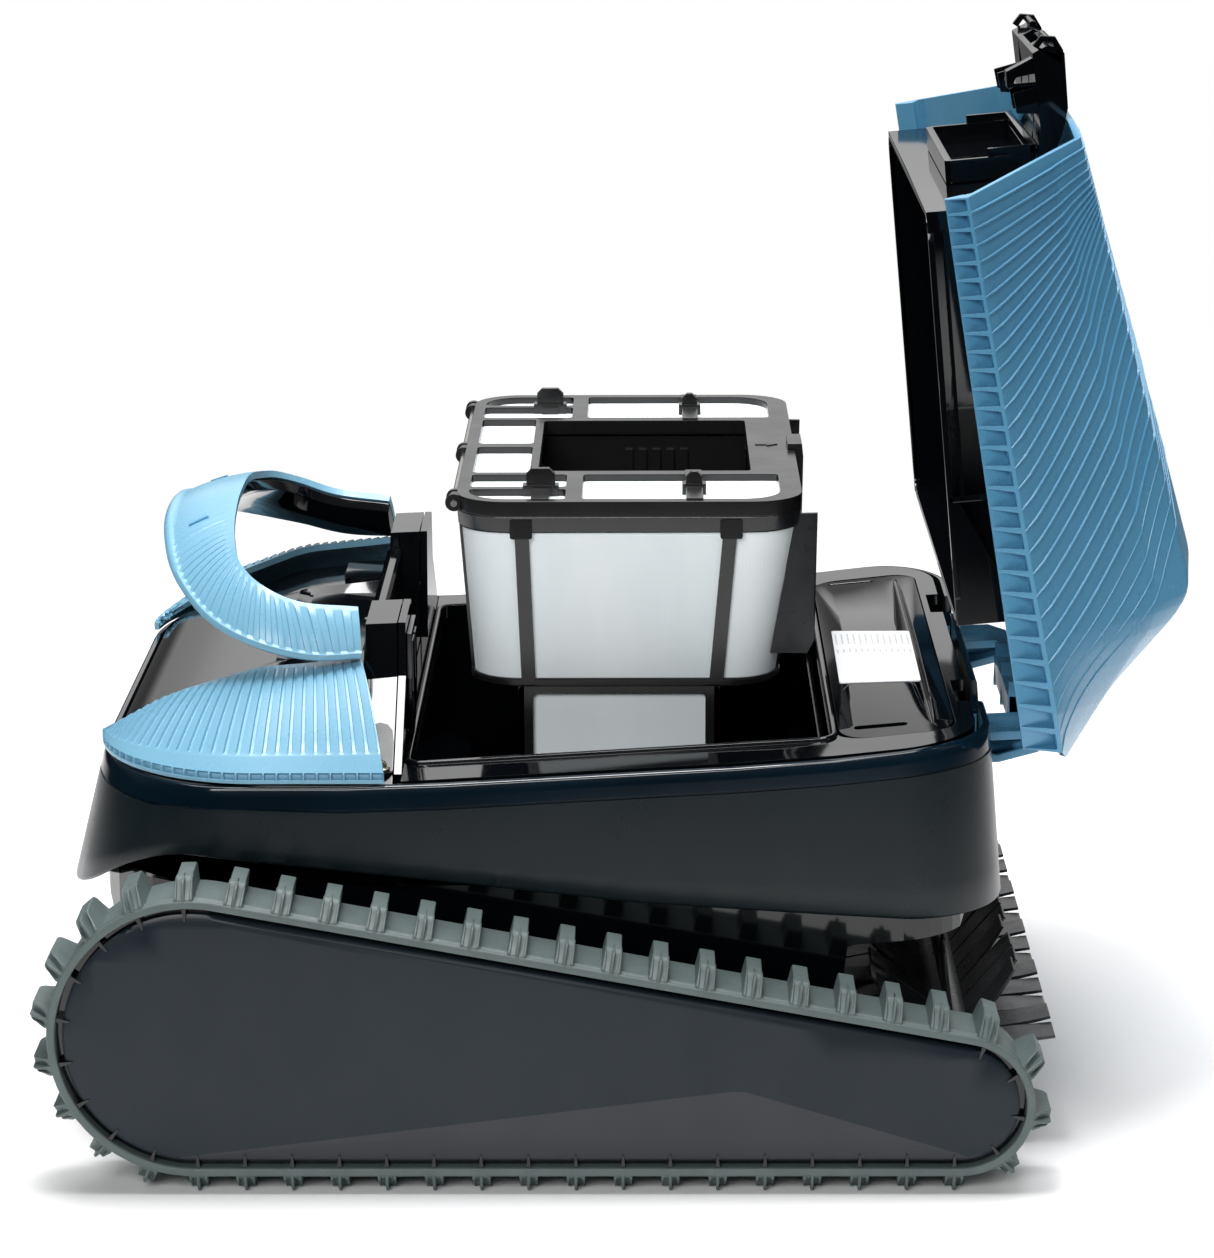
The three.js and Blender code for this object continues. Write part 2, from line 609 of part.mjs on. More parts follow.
// Evenly spaced points along the loop, each with its outward direction's angle.
function trackStations(grow, count) {
  const [a, b] = [FRONT_WHEEL, REAR_WHEEL];
  const top = topAngle(a, b);
  const [rb, ra] = [b.r + grow, a.r + grow];
  const on = (wheel, r, angle) => [wheel.x + r * Math.cos(angle), wheel.z + r * Math.sin(angle)];
  const upper = Math.hypot(on(a, ra, top)[0] - on(b, rb, top)[0], on(a, ra, top)[1] - on(b, rb, top)[1]);
  const lower = b.x - a.x;
  const lengths = [rb * (top + Math.PI / 2), upper, ra * (1.5 * Math.PI - top), lower];
  const whole = lengths.reduce((sum, l) => sum + l, 0);
  return range(count).map(i => {
    let s = (whole + TRACK.phase + (i * whole) / count) % whole;
    if (s < lengths[0]) {
      const angle = -Math.PI / 2 + s / rb;
      return { at: on(b, rb, angle), angle };
    }
    s -= lengths[0];
    if (s < upper) {
      const [p, q] = [on(b, rb, top), on(a, ra, top)];
      return { at: [p[0] + ((q[0] - p[0]) * s) / upper, p[1] + ((q[1] - p[1]) * s) / upper], angle: top };
    }
    s -= upper;
    if (s < lengths[2]) {
      const angle = top + s / ra;
      return { at: on(a, ra, angle), angle };
    }
    s -= lengths[2];
    return { at: [a.x + s, TRACK.inner - grow], angle: 1.5 * Math.PI };
  });
}

// One lug: a block across the belt with a flat top, bevelled at its outer end.
function lug() {
  const { y0, y1, foot, shoulder, tip, lugHalf } = TRACK;
  const section = [[y0 + 0.6, foot], [y1 - 0.6, foot], [y1 - 0.6, shoulder], [y1 - 3.4, tip], [y0 + 2, tip]];
  return crossPlate(section, -lugHalf, lugHalf);
}

function track() {
  const belt = sidePlate(trackLoop(TRACK.belt, 7), TRACK.y0, TRACK.y1, [trackLoop(0, 7)]);
  const lugs = trackStations(0, TRACK.lugs).map(({ at: [x, z], angle }) => {
    const turn = new THREE.Matrix4().makeRotationY(Math.PI / 2 - angle);
    return lug().applyMatrix4(turn).translate(x, 0, z);
  });
  return join(belt, ...lugs);
}
pair("track", track(), RUBBER);

// Side cover: a shallow cap that closes the loop from outside, with a boss for each stub axle.
function sideCover() {
  const outer = sidePlate(trackLoop(-COVER.inset, 7), COVER.y0, COVER.y1);
  const pocket = sidePlate(trackLoop(-COVER.inset - 2.4, 9), COVER.y0 - 1, COVER.y1 - 2.4);
  const bosses = [FRONT_WHEEL, REAR_WHEEL].map(w => rodY(w.x, w.z, 10, COVER.y0, COVER.y1 - 1));
  const bores = [FRONT_WHEEL, REAR_WHEEL].map(w => rodY(w.x, w.z, 6.3, COVER.y0 - 1, COVER.y0 + 9));
  return cut(join(cut(outer, pocket), ...bosses), ...bores);
}
pair("side_cover", sideCover(), SLATE);

// Side frame: the plate inboard of the belt, with moulded stub axles, on bosses against the hull.
const AXLE = 6;
function sideFrame() {
  const plate = sidePlate(trackLoop(-FRAME.inset, 9), FRAME.y0, FRAME.y1);
  const bosses = [[-120, 64], [-40, 50], [96, 40]].map(([x, z]) =>
    rodY(x, z, 8, HULL.half + GAP, FRAME.y0 + 1, 12));
  const holes = [
    rodY(SPROCKET.x, SPROCKET.z, 4.6, FRAME.y0 - 1, FRAME.y1 + 1),
    rodY(BRUSH.x, BRUSH.z, 5.1, FRAME.y0 - 1, FRAME.y1 - 1.5),
  ];
  const window = [-60, 90].map(x => roundRectangle(x - 22, x + 22, 40, 62, 8, 3));
  const openings = window.map(w => sidePlate(w, FRAME.y0 - 1, FRAME.y1 + 1));
  const axles = [FRONT_WHEEL, REAR_WHEEL].map(w => rodY(w.x, w.z, AXLE, FRAME.y1 - 1, 196, 24));
  return cut(join(plate, ...bosses, ...axles), ...holes, ...openings);
}
pair("side_frame", sideFrame(), GLOSS_BLACK);

// A track wheel turned about Y: rim, thin web and hub.
function wheel({ x, z }, radius, bore, y0, y1) {
  const rim = 4;
  const hub = bore + 5;
  const web = 3;
  const profile = [
    [bore, y0], [hub, y0], [hub, y0 + web], [radius - rim, y0 + web], [radius - rim, y0], [radius, y0],
    [radius, y1], [radius - rim, y1], [radius - rim, y1 - web], [hub, y1 - web], [hub, y1], [bore, y1],
    [bore, y0],
  ].map(([r, y]) => new THREE.Vector2(r, y));
  return new THREE.LatheGeometry(profile, 20).translate(x, 0, z);
}
pair("front_wheel", wheel(FRONT_WHEEL, FRONT_WHEEL.r - 0.9, AXLE + 0.4, 174.5, 186.5), FRAME_BLACK);
pair("rear_wheel", wheel(REAR_WHEEL, REAR_WHEEL.r - 0.9, AXLE + 0.4, 174.5, 186.5), FRAME_BLACK);

// Toothed drive sprocket on its shaft, which runs in under the bay to the gearbox.
function sprocket() {
  const teeth = 12;
  const outline = range(teeth * 4).map(i => {
    const r = i % 4 < 2 ? SPROCKET.r : SPROCKET.r - 2;
    const angle = (i / (teeth * 4)) * 2 * Math.PI;
    return [SPROCKET.x + r * Math.cos(angle), SPROCKET.z + r * Math.sin(angle)];
  });
  return join(sidePlate(outline, 175, 186), rodY(SPROCKET.x, SPROCKET.z, 4, 48, 176));
}
pair("drive_sprocket", sprocket(), FRAME_BLACK);

// ---------- motor unit ----------
function motorHousing() {
  const { x0, x1, half, low, top } = MOTOR;
  const outer = flatPlate(roundRectangle(x0, x1, -half, half, 8, 3), low + 4, top);
  const inner = flatPlate(roundRectangle(x0 + 3, x1 - 3, -half + 3, half - 3, 5, 3), low, top - 3);
  const shafts = rodY(SPROCKET.x, SPROCKET.z, 5, -half - 1, half + 1);
  const slot = block(SPROCKET.x - 5, SPROCKET.x + 5, -half - 1, half + 1, low, SPROCKET.z);
  const neck = rodZ((x0 + x1) / 2, 0, 4.5, top - 10, top + 1);
  return cut(outer, inner, shafts, slot, neck);
}
const MOTOR_X = (MOTOR.x0 + MOTOR.x1) / 2;
piece("motor_housing", motorHousing(), FRAME_BLACK());
// Base that closes the housing from below, with the two gearboxes that the drive shafts run out of.
function motorBase() {
  const plate = flatPlate(roundRectangle(MOTOR.x0 + 3.5, MOTOR.x1 - 3.5, -46, 46, 5, 2), 20, 30);
  const gearboxes = [-1, 1].map(s => sideBlock(s, SPROCKET.x - 12, SPROCKET.x + 12, 22, 45, 24, 50));
  return cut(join(plate, ...gearboxes), rodY(SPROCKET.x, SPROCKET.z, 4.6, -50, 50));
}
piece("motor_base", motorBase(), FRAME_BLACK());
piece("pump_motor", rodZ(MOTOR_X, 0, 19, 92, 140, 24), STEEL());
pair("drive_motor", rodY(MOTOR_X, 66, 13, 4, 44), STEEL);
piece("control_board", block(8, 9.6, -40, 40, 56, 116), BOARD());

// Pump impeller: a hub, a back plate and curved-in-plan blades, on a vertical shaft.
const IMPELLER = { low: MOTOR.top + 3, blade: 11, r: 21, blades: 6 };
function impeller() {
  const { low, blade, r, blades } = IMPELLER;
  const hub = rodZ(MOTOR_X, 0, 5, low, low + blade + 2);
  const plate = rodZ(MOTOR_X, 0, r, low, low + 1.6, 28);
  const shaft = rodZ(MOTOR_X, 0, 3, 140.6, low + 1, 16);
  const vanes = range(blades).map(i => {
    const turn = new THREE.Matrix4().makeRotationZ((i / blades) * 2 * Math.PI);
    return block(3, r - 1, -0.9, 0.9, low + 1, low + blade).applyMatrix4(turn).translate(MOTOR_X, 0, 0);
  });
  return join(hub, plate, shaft, ...vanes);
}
piece("pump_impeller", impeller(), FRAME_BLACK());

function impellerGuard() {
  const ring = flatPlate(roundRectangle(MOTOR.x0 + 1, MOTOR.x1 - 1, -28, 28, 8, 3), MOTOR.top + GAP, 172);
  const bore = rodZ(MOTOR_X, 0, 23.5, MOTOR.top - 1, 168, 28);
  const slots = spread(-18, 18, 6).map(y => block(MOTOR.x0 + 9, MOTOR.x1 - 9, y - 1.8, y + 1.8, 160, 180));
  return cut(ring, bore, ...slots);
}
piece("impeller_guard", impellerGuard(), FRAME_BLACK());

// ---------- filter basket, lifted ----------
const basketRing = (z, t, inset) =>
  roundRectangle(BASKET.x0 + 5 * t + inset, BASKET.x1 - 9 * t - inset, -BASKET.half + 11 * t + inset,
    BASKET.half - 11 * t - inset, BASKET.corner - inset, 5).map(([x, y]) => [x, y, z]);

// Upper frame: a tapered four-sided wall with windows, and the tunnel that stands over the motor unit.
function basketFrame() {
  const [high, low] = [BASKET.top - 7.5, BASKET.waist];
  const taper = z => (high - z) / (high - low);
  const body = inset => loft([basketRing(low, 1, inset), basketRing(high, taper(high), inset)]);
  const inside = [low + 2.6, high + 1].map(z => basketRing(z, taper(z), 2.4));
  const wall = cut(body(0), loft(inside));
  const tunnelWall = block(TUNNEL.x0 - 2, TUNNEL.x1 + 2, -TUNNEL.half - 2, TUNNEL.half + 2, low, high);
  const tunnel = block(TUNNEL.x0, TUNNEL.x1, -TUNNEL.half, TUNNEL.half, low - 5, high + 5);
  const mouths = [-1, 1].map(s => sideBlock(s, POD.x0 + 6, POD.x1 - 5, 62, 99, low - 5, low + 5));
  const sideWindow = block(-6, 68, -150, 150, low + 8, high - 10);
  const endWindows = [-1, 1].map(s => sideBlock(s, -60, 130, 8, 82, low + 8, high - 10));
  const keep = block(TUNNEL.x0 - 2, TUNNEL.x1 + 2, -TUNNEL.half - 2, TUNNEL.half + 2, low, high);
  const windows = cut(join(sideWindow, ...endWindows), keep);
  return cut(join(cut(wall, windows), tunnelWall), tunnel, ...mouths);
}
piece("basket_frame", basketFrame(), FRAME_BLACK());

// Filter cloth inside the frame's windows.
function basketMesh() {
  const [high, low] = [BASKET.top - 8, BASKET.waist + 3.2];
  const taper = z => (BASKET.top - 7.5 - z) / (BASKET.top - 7.5 - BASKET.waist);
  const ring = (z, inset) => basketRing(z, taper(z), inset);
  return cut(
    loft([ring(low, 2.9), ring(high, 2.9)]),
    loft([ring(low - 1, 3.7), ring(high + 1, 3.7)])
  );
}
piece("basket_mesh", basketMesh(), MESH_WHITE());

// Lower frame: a ring of two pods, one each side of the motor unit, with an inlet in each pod's floor.
function basketLower() {
  const [z0, z1] = [BASKET.foot, BASKET.waist - GAP];
  const outer = flatPlate(roundRectangle(POD.x0, POD.x1, -POD.half, POD.half, 6, 2), z0, z1);
  const hole = block(POD.holeX0, POD.holeX1, -TUNNEL.half, TUNNEL.half, z0 - 5, z1 + 5);
  const pods = [-1, 1].map(s =>
    sideBlock(s, POD.x0 + 2.4, POD.x1 - 2.4, TUNNEL.half + 2, POD.half - 2.4, z0 + 2.4, z1 + 5));
  const inlets = [-1, 1].map(s =>
    sideBlock(s, INLET.x0 + 2, INLET.x1 - 2, INLET.y0 + 2, INLET.y1 - 2, z0 - 5, z0 + 5));
  const window = block(-4, 66, -150, 150, z0 + 10, z1 - 8);
  const keep = block(POD.x0 - 1, POD.x1 + 1, -TUNNEL.half - 2, TUNNEL.half + 2, z0, z1);
  return cut(outer, hole, ...pods, ...inlets, cut(window, keep));
}
piece("basket_lower", basketLower(), FRAME_BLACK());
const lowerMesh = block(-5.5, 67.5, POD.half - 3.6, POD.half - 2.8, BASKET.foot + 4, BASKET.waist - 4);
pair("lower_mesh", lowerMesh, MESH_WHITE);

// Inlet flaps: thin doors that lie on the pod floors and lift as water is drawn in.
const FLAP = { hinge: 60.5, z: BASKET.foot + 2.4 };
pair("inlet_flap", block(8, 58, FLAP.hinge, 98.5, FLAP.z + 0.3, FLAP.z + 1.7), DARK_RUBBER);

// Snap tab standing on the cover.
function coverTab(x, y, width, height) {
  const { top } = BASKET;
  const outline = roundRectangle(x - width / 2, x + width / 2, top - 3, top + height, 3, 2);
  return sidePlate(outline, y - 1.6, y + 1.6);
}
const KNUCKLE = BASKET.top - 3.4;

// Cover: a flat frame with windows round the tunnel's mouth.
const coverPanels = [
  [-31, 9, 62, 86], [-31, 9, 91, 110], [16, 98, 62, 110], [-31, -9, 5, 52], [-31, -9, -52, -5],
  [-31, 9, -86, -62], [-31, 9, -110, -91], [16, 98, -110, -62],
];
function basketCover() {
  const { x0, x1, half, top } = BASKET;
  const [z0, z1] = [top - 6.5, top];
  const plate = flatPlate(roundRectangle(x0, x1, -half, half, BASKET.corner, 5), z0, z1);
  const fieldPlan = roundRectangle(x0 + 5, x1 - 5, 5 - half, half - 5, BASKET.corner - 5, 5);
  const field = flatPlate(fieldPlan, z0 - 1, z1 + 1);
  const panels = coverPanels.map(([a0, a1, b0, b1]) =>
    flatPlate(roundRectangle(a0, a1, b0, b1, 2, 1), z0 - 1, z1 + 1));
  const mouth = block(TUNNEL.x0 + 0.5, TUNNEL.x1 - 0.5, 0.5 - TUNNEL.half, TUNNEL.half - 0.5, z0 - 1, z1 + 1);
  const knuckles = [-96, 0, 96].map(y => rodY(x0 - 1, KNUCKLE, 3.6, y - 6, y + 6, 12));
  const pinHole = rodY(x0 - 1, KNUCKLE, 1.7, -120, 120, 12);
  const tabs = [-1, 1].flatMap(s => [
    coverTab(-1.4, s * 88.5, 12, 8.5),
    coverTab(62.4, s * 86, 7, 6.5),
    sideBlock(s, 58.9, 65.9, 56, 113, top - 5, top - 1),
  ]);
  return cut(join(cut(plate, common(join(...panels), field), mouth), ...knuckles, ...tabs), pinHole);
}
piece("basket_cover", basketCover(), FRAME_BLACK());
const coverMesh = flatPlate(roundRectangle(-32, 103, -111, 111, 17, 4), BASKET.top - 7.4, BASKET.top - 6.8,
  [rectangle(TUNNEL.x0 - 3, TUNNEL.x1 + 3, -TUNNEL.half - 3, TUNNEL.half + 3)]);
piece("basket_cover_mesh", coverMesh, MESH_WHITE());
piece("basket_hinge_pin", rodY(BASKET.x0 - 1, KNUCKLE, 1.4, -104, 104, 10), STEEL());

// Catch that holds the cover down at the rear, and the rubber wings that seal the basket in its bay.
function basketCatch() {
  const outline = [
    [107.4, 236], [110.4, 236], [110.8, 262], [110.2, 267.5], [104, 267.5], [104, 265.4], [107.4, 265.4],
  ];
  return sidePlate(outline, -11, 11);
}
piece("basket_catch", basketCatch(), FRAME_BLACK());
function wing() {
  const outline = [
    [100.5, 190], [108, 190], [111.4, 196], [112.2, 256], [108.6, 256], [104.5, 244], [103.8, 220],
  ];
  return sidePlate(outline, 99, 101);
}
pair("basket_wing", wing(), DARK_RUBBER);

// ---------- rear brush ----------
function brush() {
  const { x, z, r, core, half, rows, thick, phase } = BRUSH;
  const flaps = range(rows).map(i => {
    const angle = phase + (i / rows) * 2 * Math.PI;
    const blade = block(core - 2, r, -half + 1, half - 1, -thick / 2, thick / 2);
    return blade.applyMatrix4(new THREE.Matrix4().makeRotationY(-angle)).translate(x, 0, z);
  });
  const shaft = rodY(x, z, 4.6, -FRAME.y1 + 2, FRAME.y1 - 2);
  return join(rodY(x, z, core, -half, half, 16), shaft, ...flaps);
}
piece("rear_brush", brush(), DARK_RUBBER());

// ---------- lid, drawn closed ----------
// Half section at x: rim, top of the rib strip, crease, ridge, middle.
const lidStations = {
  rim: [[-63, 158.6], [164, 174.2]],
  strip: [[-66, 167.5], [164, 190]],
  creaseY: [[-72, 121], [118, 100], [150, 112], [179, 128]],
  creaseZ: [[-72, 203], [118, 238], [128, 236], [179, 192]],
  ridgeY: [[-78, 109], [118, 84], [140, 90], [179, 100]],
  ridgeZ: [[-78, 217.5], [118, 254], [126, 252], [179, 193]],
  topZ: [[-79, 221], [60, 251], [118, 262], [126, 259], [179, 194]],
};

function lidSection(t) {
  const at = (x0, x1) => x0 + (x1 - x0) * t;
  const { rim, strip, creaseY, creaseZ, ridgeY, ridgeZ, topZ } = lidStations;
  const half = LID.rimHalf;
  const [xr, xs, xc] = [at(-63, 163.5), at(-63.5, 167), at(-71.5, 177)];
  const [xg, xt] = [at(-75.6, 178.5), at(-76, 180)];
  const stripHalf = graph([[-66, 161.5], [150, 161.5], [167, 154]], xs);
  const corners = [
    [xr, graph([[-66, half], [150, half], [164, 155]], xr), graph(rim, xr)],
    [xs, stripHalf, graph(strip, xs)],
    [xc, graph(creaseY, xc), graph(creaseZ, xc)],
    [xg, graph(ridgeY, xg), graph(ridgeZ, xg)],
    [(xg + xt) / 2, graph(ridgeY, xg) / 2, (graph(ridgeZ, xg) + 3 * graph(topZ, xt)) / 4],
    [xt, 0, graph(topZ, xt)],
  ];
  return [...corners, ...corners.slice(0, -1).map(([x, y, z]) => [x, -y, z]).reverse()];
}

const lidStops = [0, 0.12, 0.25, 0.38, 0.5, 0.62, 0.72, 0.765, 0.8, 0.86, 0.93, 1];
piece("lid_shell", sheet(lidStops.map(t => lidSection(t)), LID.wall), BLUE(), lid);

// Tray under the lid: a skirt that drops into the bay round the basket, and its roof.
function lidTray() {
  const { x0, x1, half, low, shoulder, roof, roofHalf } = TRAY;
  const section = (d, foot) => [
    [half - d, foot], [half - d, shoulder], [roofHalf - d / 2, roof - d], [-roofHalf + d / 2, roof - d],
    [-half + d, shoulder], [-half + d, foot],
  ];
  const wall = 2;
  return cut(
    crossPlate(section(0, low), x0, x1),
    crossPlate(section(wall, low - 5), x0 + wall, x1 - wall)
  );
}
piece("lid_tray", lidTray(), GLOSS_BLACK(), lid);

// Outlet duct on the tray's front wall: a rectangular mouth.
function lidDuct() {
  const { x0, y, z0, z1, wall } = DUCT;
  const outer = block(x0, TRAY.x0 - GAP, -y, y, z0, z1);
  return cut(outer, block(x0 - 12, TRAY.x0 - wall, wall - y, y - wall, z0 + wall, z1 - wall));
}
piece("lid_duct", lidDuct(), GLOSS_BLACK(), lid);

// Spine at the front of the lid, with a claw that hooks over the hood.
function lidSpine() {
  const beam = [[-104, 206], [-70, 207], [-70, 215], [-80, 218], [-103, 218], [-107, 213]];
  const claw = [[-102, 207], [-95, 207], [-94, 199], [-90, 197], [-90, 195], [-97, 195], [-99, 200]];
  const notch = block(-110, -88, -18, 18, 208, 225);
  return cut(join(sidePlate(beam, -48, 48), sidePlate(claw, -44, -36)), notch);
}
piece("lid_spine", lidSpine(), GLOSS_BLACK(), lid);
function latchButton() {
  const outline = [[-106, 212.5], [-92, 212.5], [-92, 219], [-98, 221], [-105, 218]];
  return sidePlate(outline, -17, 17);
}
piece("latch_button", latchButton(), GLOSS_BLACK(), lid);

// Hinge arms: blue plates that wrap from the lid's rear edge to the pin.
function hingeArm() {
  const outline = [
    [183, 153], [187, 168], [184, 185], [177.5, 188], [174, 180], [173.2, 163], [173.4, 152], [177, 148.5],
  ];
  const arm = sidePlate(outline, 62, 92);
  return cut(arm, rodY(HINGE.x, HINGE.z, 3.4, 50, 100, 16));
}
pair("hinge_arm", hingeArm(), BLUE, lid);
piece("hinge_pin", rodY(HINGE.x, HINGE.z, 3, -98, 98, 16), STEEL());

// The lid stands open, and the whole robot is moved so that the origin lies under its middle.
lid.position.set(HINGE.x, 0, HINGE.z);
lid.rotation.y = THREE.MathUtils.degToRad(HINGE.open);
for (const mesh of lid.children) {
  mesh.position.set(-HINGE.x, 0, -HINGE.z);
}

robot.position.set(-MIDDLE.x, 0, MIDDLE.z);

export default robot;
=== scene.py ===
"""Looks of the robotic pool cleaner: lid open, filter basket lifted out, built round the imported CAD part."""

import json
import math

import bmesh
import bpy
import numpy as np
from mathutils import Matrix, Vector
from mathutils.geometry import delaunay_2d_cdt


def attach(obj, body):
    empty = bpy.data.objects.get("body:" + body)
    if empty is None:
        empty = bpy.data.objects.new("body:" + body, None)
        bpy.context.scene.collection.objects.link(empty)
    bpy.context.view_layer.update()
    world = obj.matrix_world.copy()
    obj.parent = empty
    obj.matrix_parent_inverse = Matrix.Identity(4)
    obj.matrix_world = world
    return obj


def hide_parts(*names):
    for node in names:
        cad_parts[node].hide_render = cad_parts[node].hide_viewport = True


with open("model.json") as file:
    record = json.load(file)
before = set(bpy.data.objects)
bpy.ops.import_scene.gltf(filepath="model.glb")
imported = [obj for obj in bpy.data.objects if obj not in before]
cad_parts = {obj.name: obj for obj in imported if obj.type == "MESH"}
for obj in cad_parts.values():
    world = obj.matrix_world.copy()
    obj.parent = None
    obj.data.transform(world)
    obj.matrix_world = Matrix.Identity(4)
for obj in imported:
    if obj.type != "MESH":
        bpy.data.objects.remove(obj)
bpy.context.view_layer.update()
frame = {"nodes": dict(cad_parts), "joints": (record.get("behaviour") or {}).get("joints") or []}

# ---- drawing frame
# Pieces are drawn in millimetres about the same origin as the part's own drawing. The hinge's place in
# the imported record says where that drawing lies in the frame.
HINGE = np.array([177.3, 0.0, 155.3])
LID_OPEN = math.radians(84.9)
hinge_joint = next(j for j in frame["joints"] if j["name"] == "lid_hinge")
SHIFT = np.array(hinge_joint["pos_m"]) * 1000 - HINGE


def opened(points):
    """Turns points of the closed lid about the hinge, to where the lid stands open."""
    p = np.asarray(points, float).reshape(-1, 3) - HINGE
    c, s = math.cos(LID_OPEN), math.sin(LID_OPEN)
    turned = np.stack([p[:, 0] * c + p[:, 2] * s, p[:, 1], p[:, 2] * c - p[:, 0] * s], 1)
    return turned + HINGE


def to_frame(points):
    """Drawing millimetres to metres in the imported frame."""
    return (np.asarray(points, float).reshape(-1, 3) + SHIFT) / 1000


def graph(pairs, x):
    """The height at x of straight lines through (x, height) pairs, level beyond the ends."""
    xs, vs = zip(*pairs)
    return np.interp(x, xs, vs)


def ease(t):
    """A smooth step from 0 to 1."""
    t = np.clip(t, 0, 1)
    return t * t * (3 - 2 * t)


# ---- mesh tools
class Solid:
    """Corners and faces gathered from several closed bodies, in drawing millimetres."""

    def __init__(self):
        self.points = []
        self.faces = []
        self.slots = []

    def add(self, points, faces, slot=0):
        base = len(self.points)
        self.points.extend(np.asarray(points, float).reshape(-1, 3).tolist())
        self.faces.extend([tuple(base + i for i in f) for f in faces])
        slots = [slot] * len(faces) if np.isscalar(slot) else list(slot)
        self.slots.extend(slots)
        return self

    def join(self, other, mirror=False, slot=None):
        points = np.array(other.points)
        faces = other.faces
        if mirror:
            points = points * [1, -1, 1]
            faces = [tuple(reversed(f)) for f in faces]
        return self.add(points, faces, other.slots if slot is None else slot)


def grid_faces(rows, cols, close_rows=False, close_cols=False):
    """Four-sided faces between the points of a grid, joined round either way if closed."""
    r = rows if close_rows else rows - 1
    c = cols if close_cols else cols - 1
    faces = []
    for i in range(r):
        for j in range(c):
            i2, j2 = (i + 1) % rows, (j + 1) % cols
            faces.append((i * cols + j, i * cols + j2, i2 * cols + j2, i2 * cols + j))
    return faces


def slab(front, back):
    """A closed body between two grids of points with the same rows and columns."""
    rows, cols = front.shape[:2]
    n = rows * cols
    faces = grid_faces(rows, cols)
    faces += [tuple(n + i for i in reversed(f)) for f in faces]
    edge = [(0, c) for c in range(cols)] + [(r, cols - 1) for r in range(1, rows)]
    edge += [(rows - 1, c) for c in range(cols - 2, -1, -1)] + [(r, 0) for r in range(rows - 2, 0, -1)]
    ids = [r * cols + c for r, c in edge]
    for a, b in zip(ids, ids[1:] + ids[:1]):
        faces.append((b, a, n + a, n + b))
    return Solid().add(np.concatenate([front.reshape(-1, 3), back.reshape(-1, 3)]), faces)


def sweep(sections, closed=True):
    """A body through rings of points: a closed loop of rings, or a run with a face at each end."""
    sections = np.asarray(sections, float)
    n, m = sections.shape[:2]
    faces = grid_faces(n, m, close_rows=closed, close_cols=True)
    if not closed:
        faces += [tuple(range(m)), tuple(reversed(range((n - 1) * m, n * m)))]
    return Solid().add(sections, faces)


def bar(sections):
    """A body through a run of rings, with a face at each end."""
    return sweep(sections, closed=False)


def inside(points, loop):
    """Which of the points lie within a closed loop, by crossings."""
    x, y = points[:, 0], points[:, 1]
    a = np.asarray(loop, float)
    b = np.roll(a, -1, 0)
    hit = np.zeros(len(points), bool)
    for (x0, y0), (x1, y1) in zip(a, b):
        crosses = (y0 > y) != (y1 > y)
        with np.errstate(divide="ignore", invalid="ignore"):
            at = (x1 - x0) * (y - y0) / (y1 - y0) + x0
        hit ^= crosses & (x < at)
    return hit


def fill(outline, holes=(), lines=(), steps=None):
    """Triangles over a flat outline with holes; lines are extra edges that the triangles keep to."""
    loops = [np.asarray(loop, float)[:, :2] for loop in (outline, *holes)]
    points, edges = [], []
    for loop in loops:
        base, n = len(points), len(loop)
        points.extend(map(tuple, loop))
        edges.extend((base + i, base + (i + 1) % n) for i in range(n))
    for line in lines:
        base = len(points)
        points.extend(map(tuple, line))
        edges.extend((base + i, base + i + 1) for i in range(len(line) - 1))
    if steps is not None:
        low, high = loops[0].min(0), loops[0].max(0)
        us = np.arange(low[0] + steps[0], high[0], steps[0])
        vs = np.arange(low[1] + steps[1], high[1], steps[1])
        inner = np.array([(u, v) for u in us for v in vs]).reshape(-1, 2)
        if len(inner):
            keep = inside(inner, loops[0])
            for hole in loops[1:]:
                keep &= ~inside(inner, hole)
            points.extend(map(tuple, inner[keep]))
    out = delaunay_2d_cdt([Vector(p) for p in points], edges, [], 1, 1e-5)
    uv = np.array([tuple(v) for v in out[0]])
    tris = np.array([tuple(f) for f in out[2]])
    middle = uv[tris].mean(1)
    keep = inside(middle, loops[0])
    for hole in loops[1:]:
        keep &= ~inside(middle, hole)
    return uv, tris[keep]


def sheet(uv, tris, face, back):
    """A closed body from flat triangles: face and back give each corner's place on either side."""
    front, rear = face(uv), back(uv)
    n = len(uv)
    faces = [tuple(t) for t in tris] + [tuple(n + i for i in reversed(t)) for t in tris]
    seen = {}
    for t in tris:
        for a, b in ((t[0], t[1]), (t[1], t[2]), (t[2], t[0])):
            seen[(a, b)] = True
    for a, b in seen:
        if (b, a) not in seen:
            faces.append((b, a, n + a, n + b))
    used = sorted({i for f in faces for i in f})
    remap = {old: new for new, old in enumerate(used)}
    points = np.concatenate([front, rear])[used]
    return Solid().add(points, [tuple(remap[i] for i in f) for f in faces])


def plate(outline, low, high, axis="z", holes=(), steps=None, lines=()):
    """A flat plate: its outline lies across the axis, between low and high along it."""
    low, high = sorted((low, high))
    uv, tris = fill(outline, holes, lines, steps)
    order = {"x": (2, 0, 1), "y": (0, 2, 1), "z": (0, 1, 2)}[axis]

    def at(level):
        def place(q):
            stack = np.column_stack([q[:, 0], q[:, 1], np.full(len(q), level)])
            return stack[:, order]

        return place

    return sheet(uv, tris, at(high), at(low))


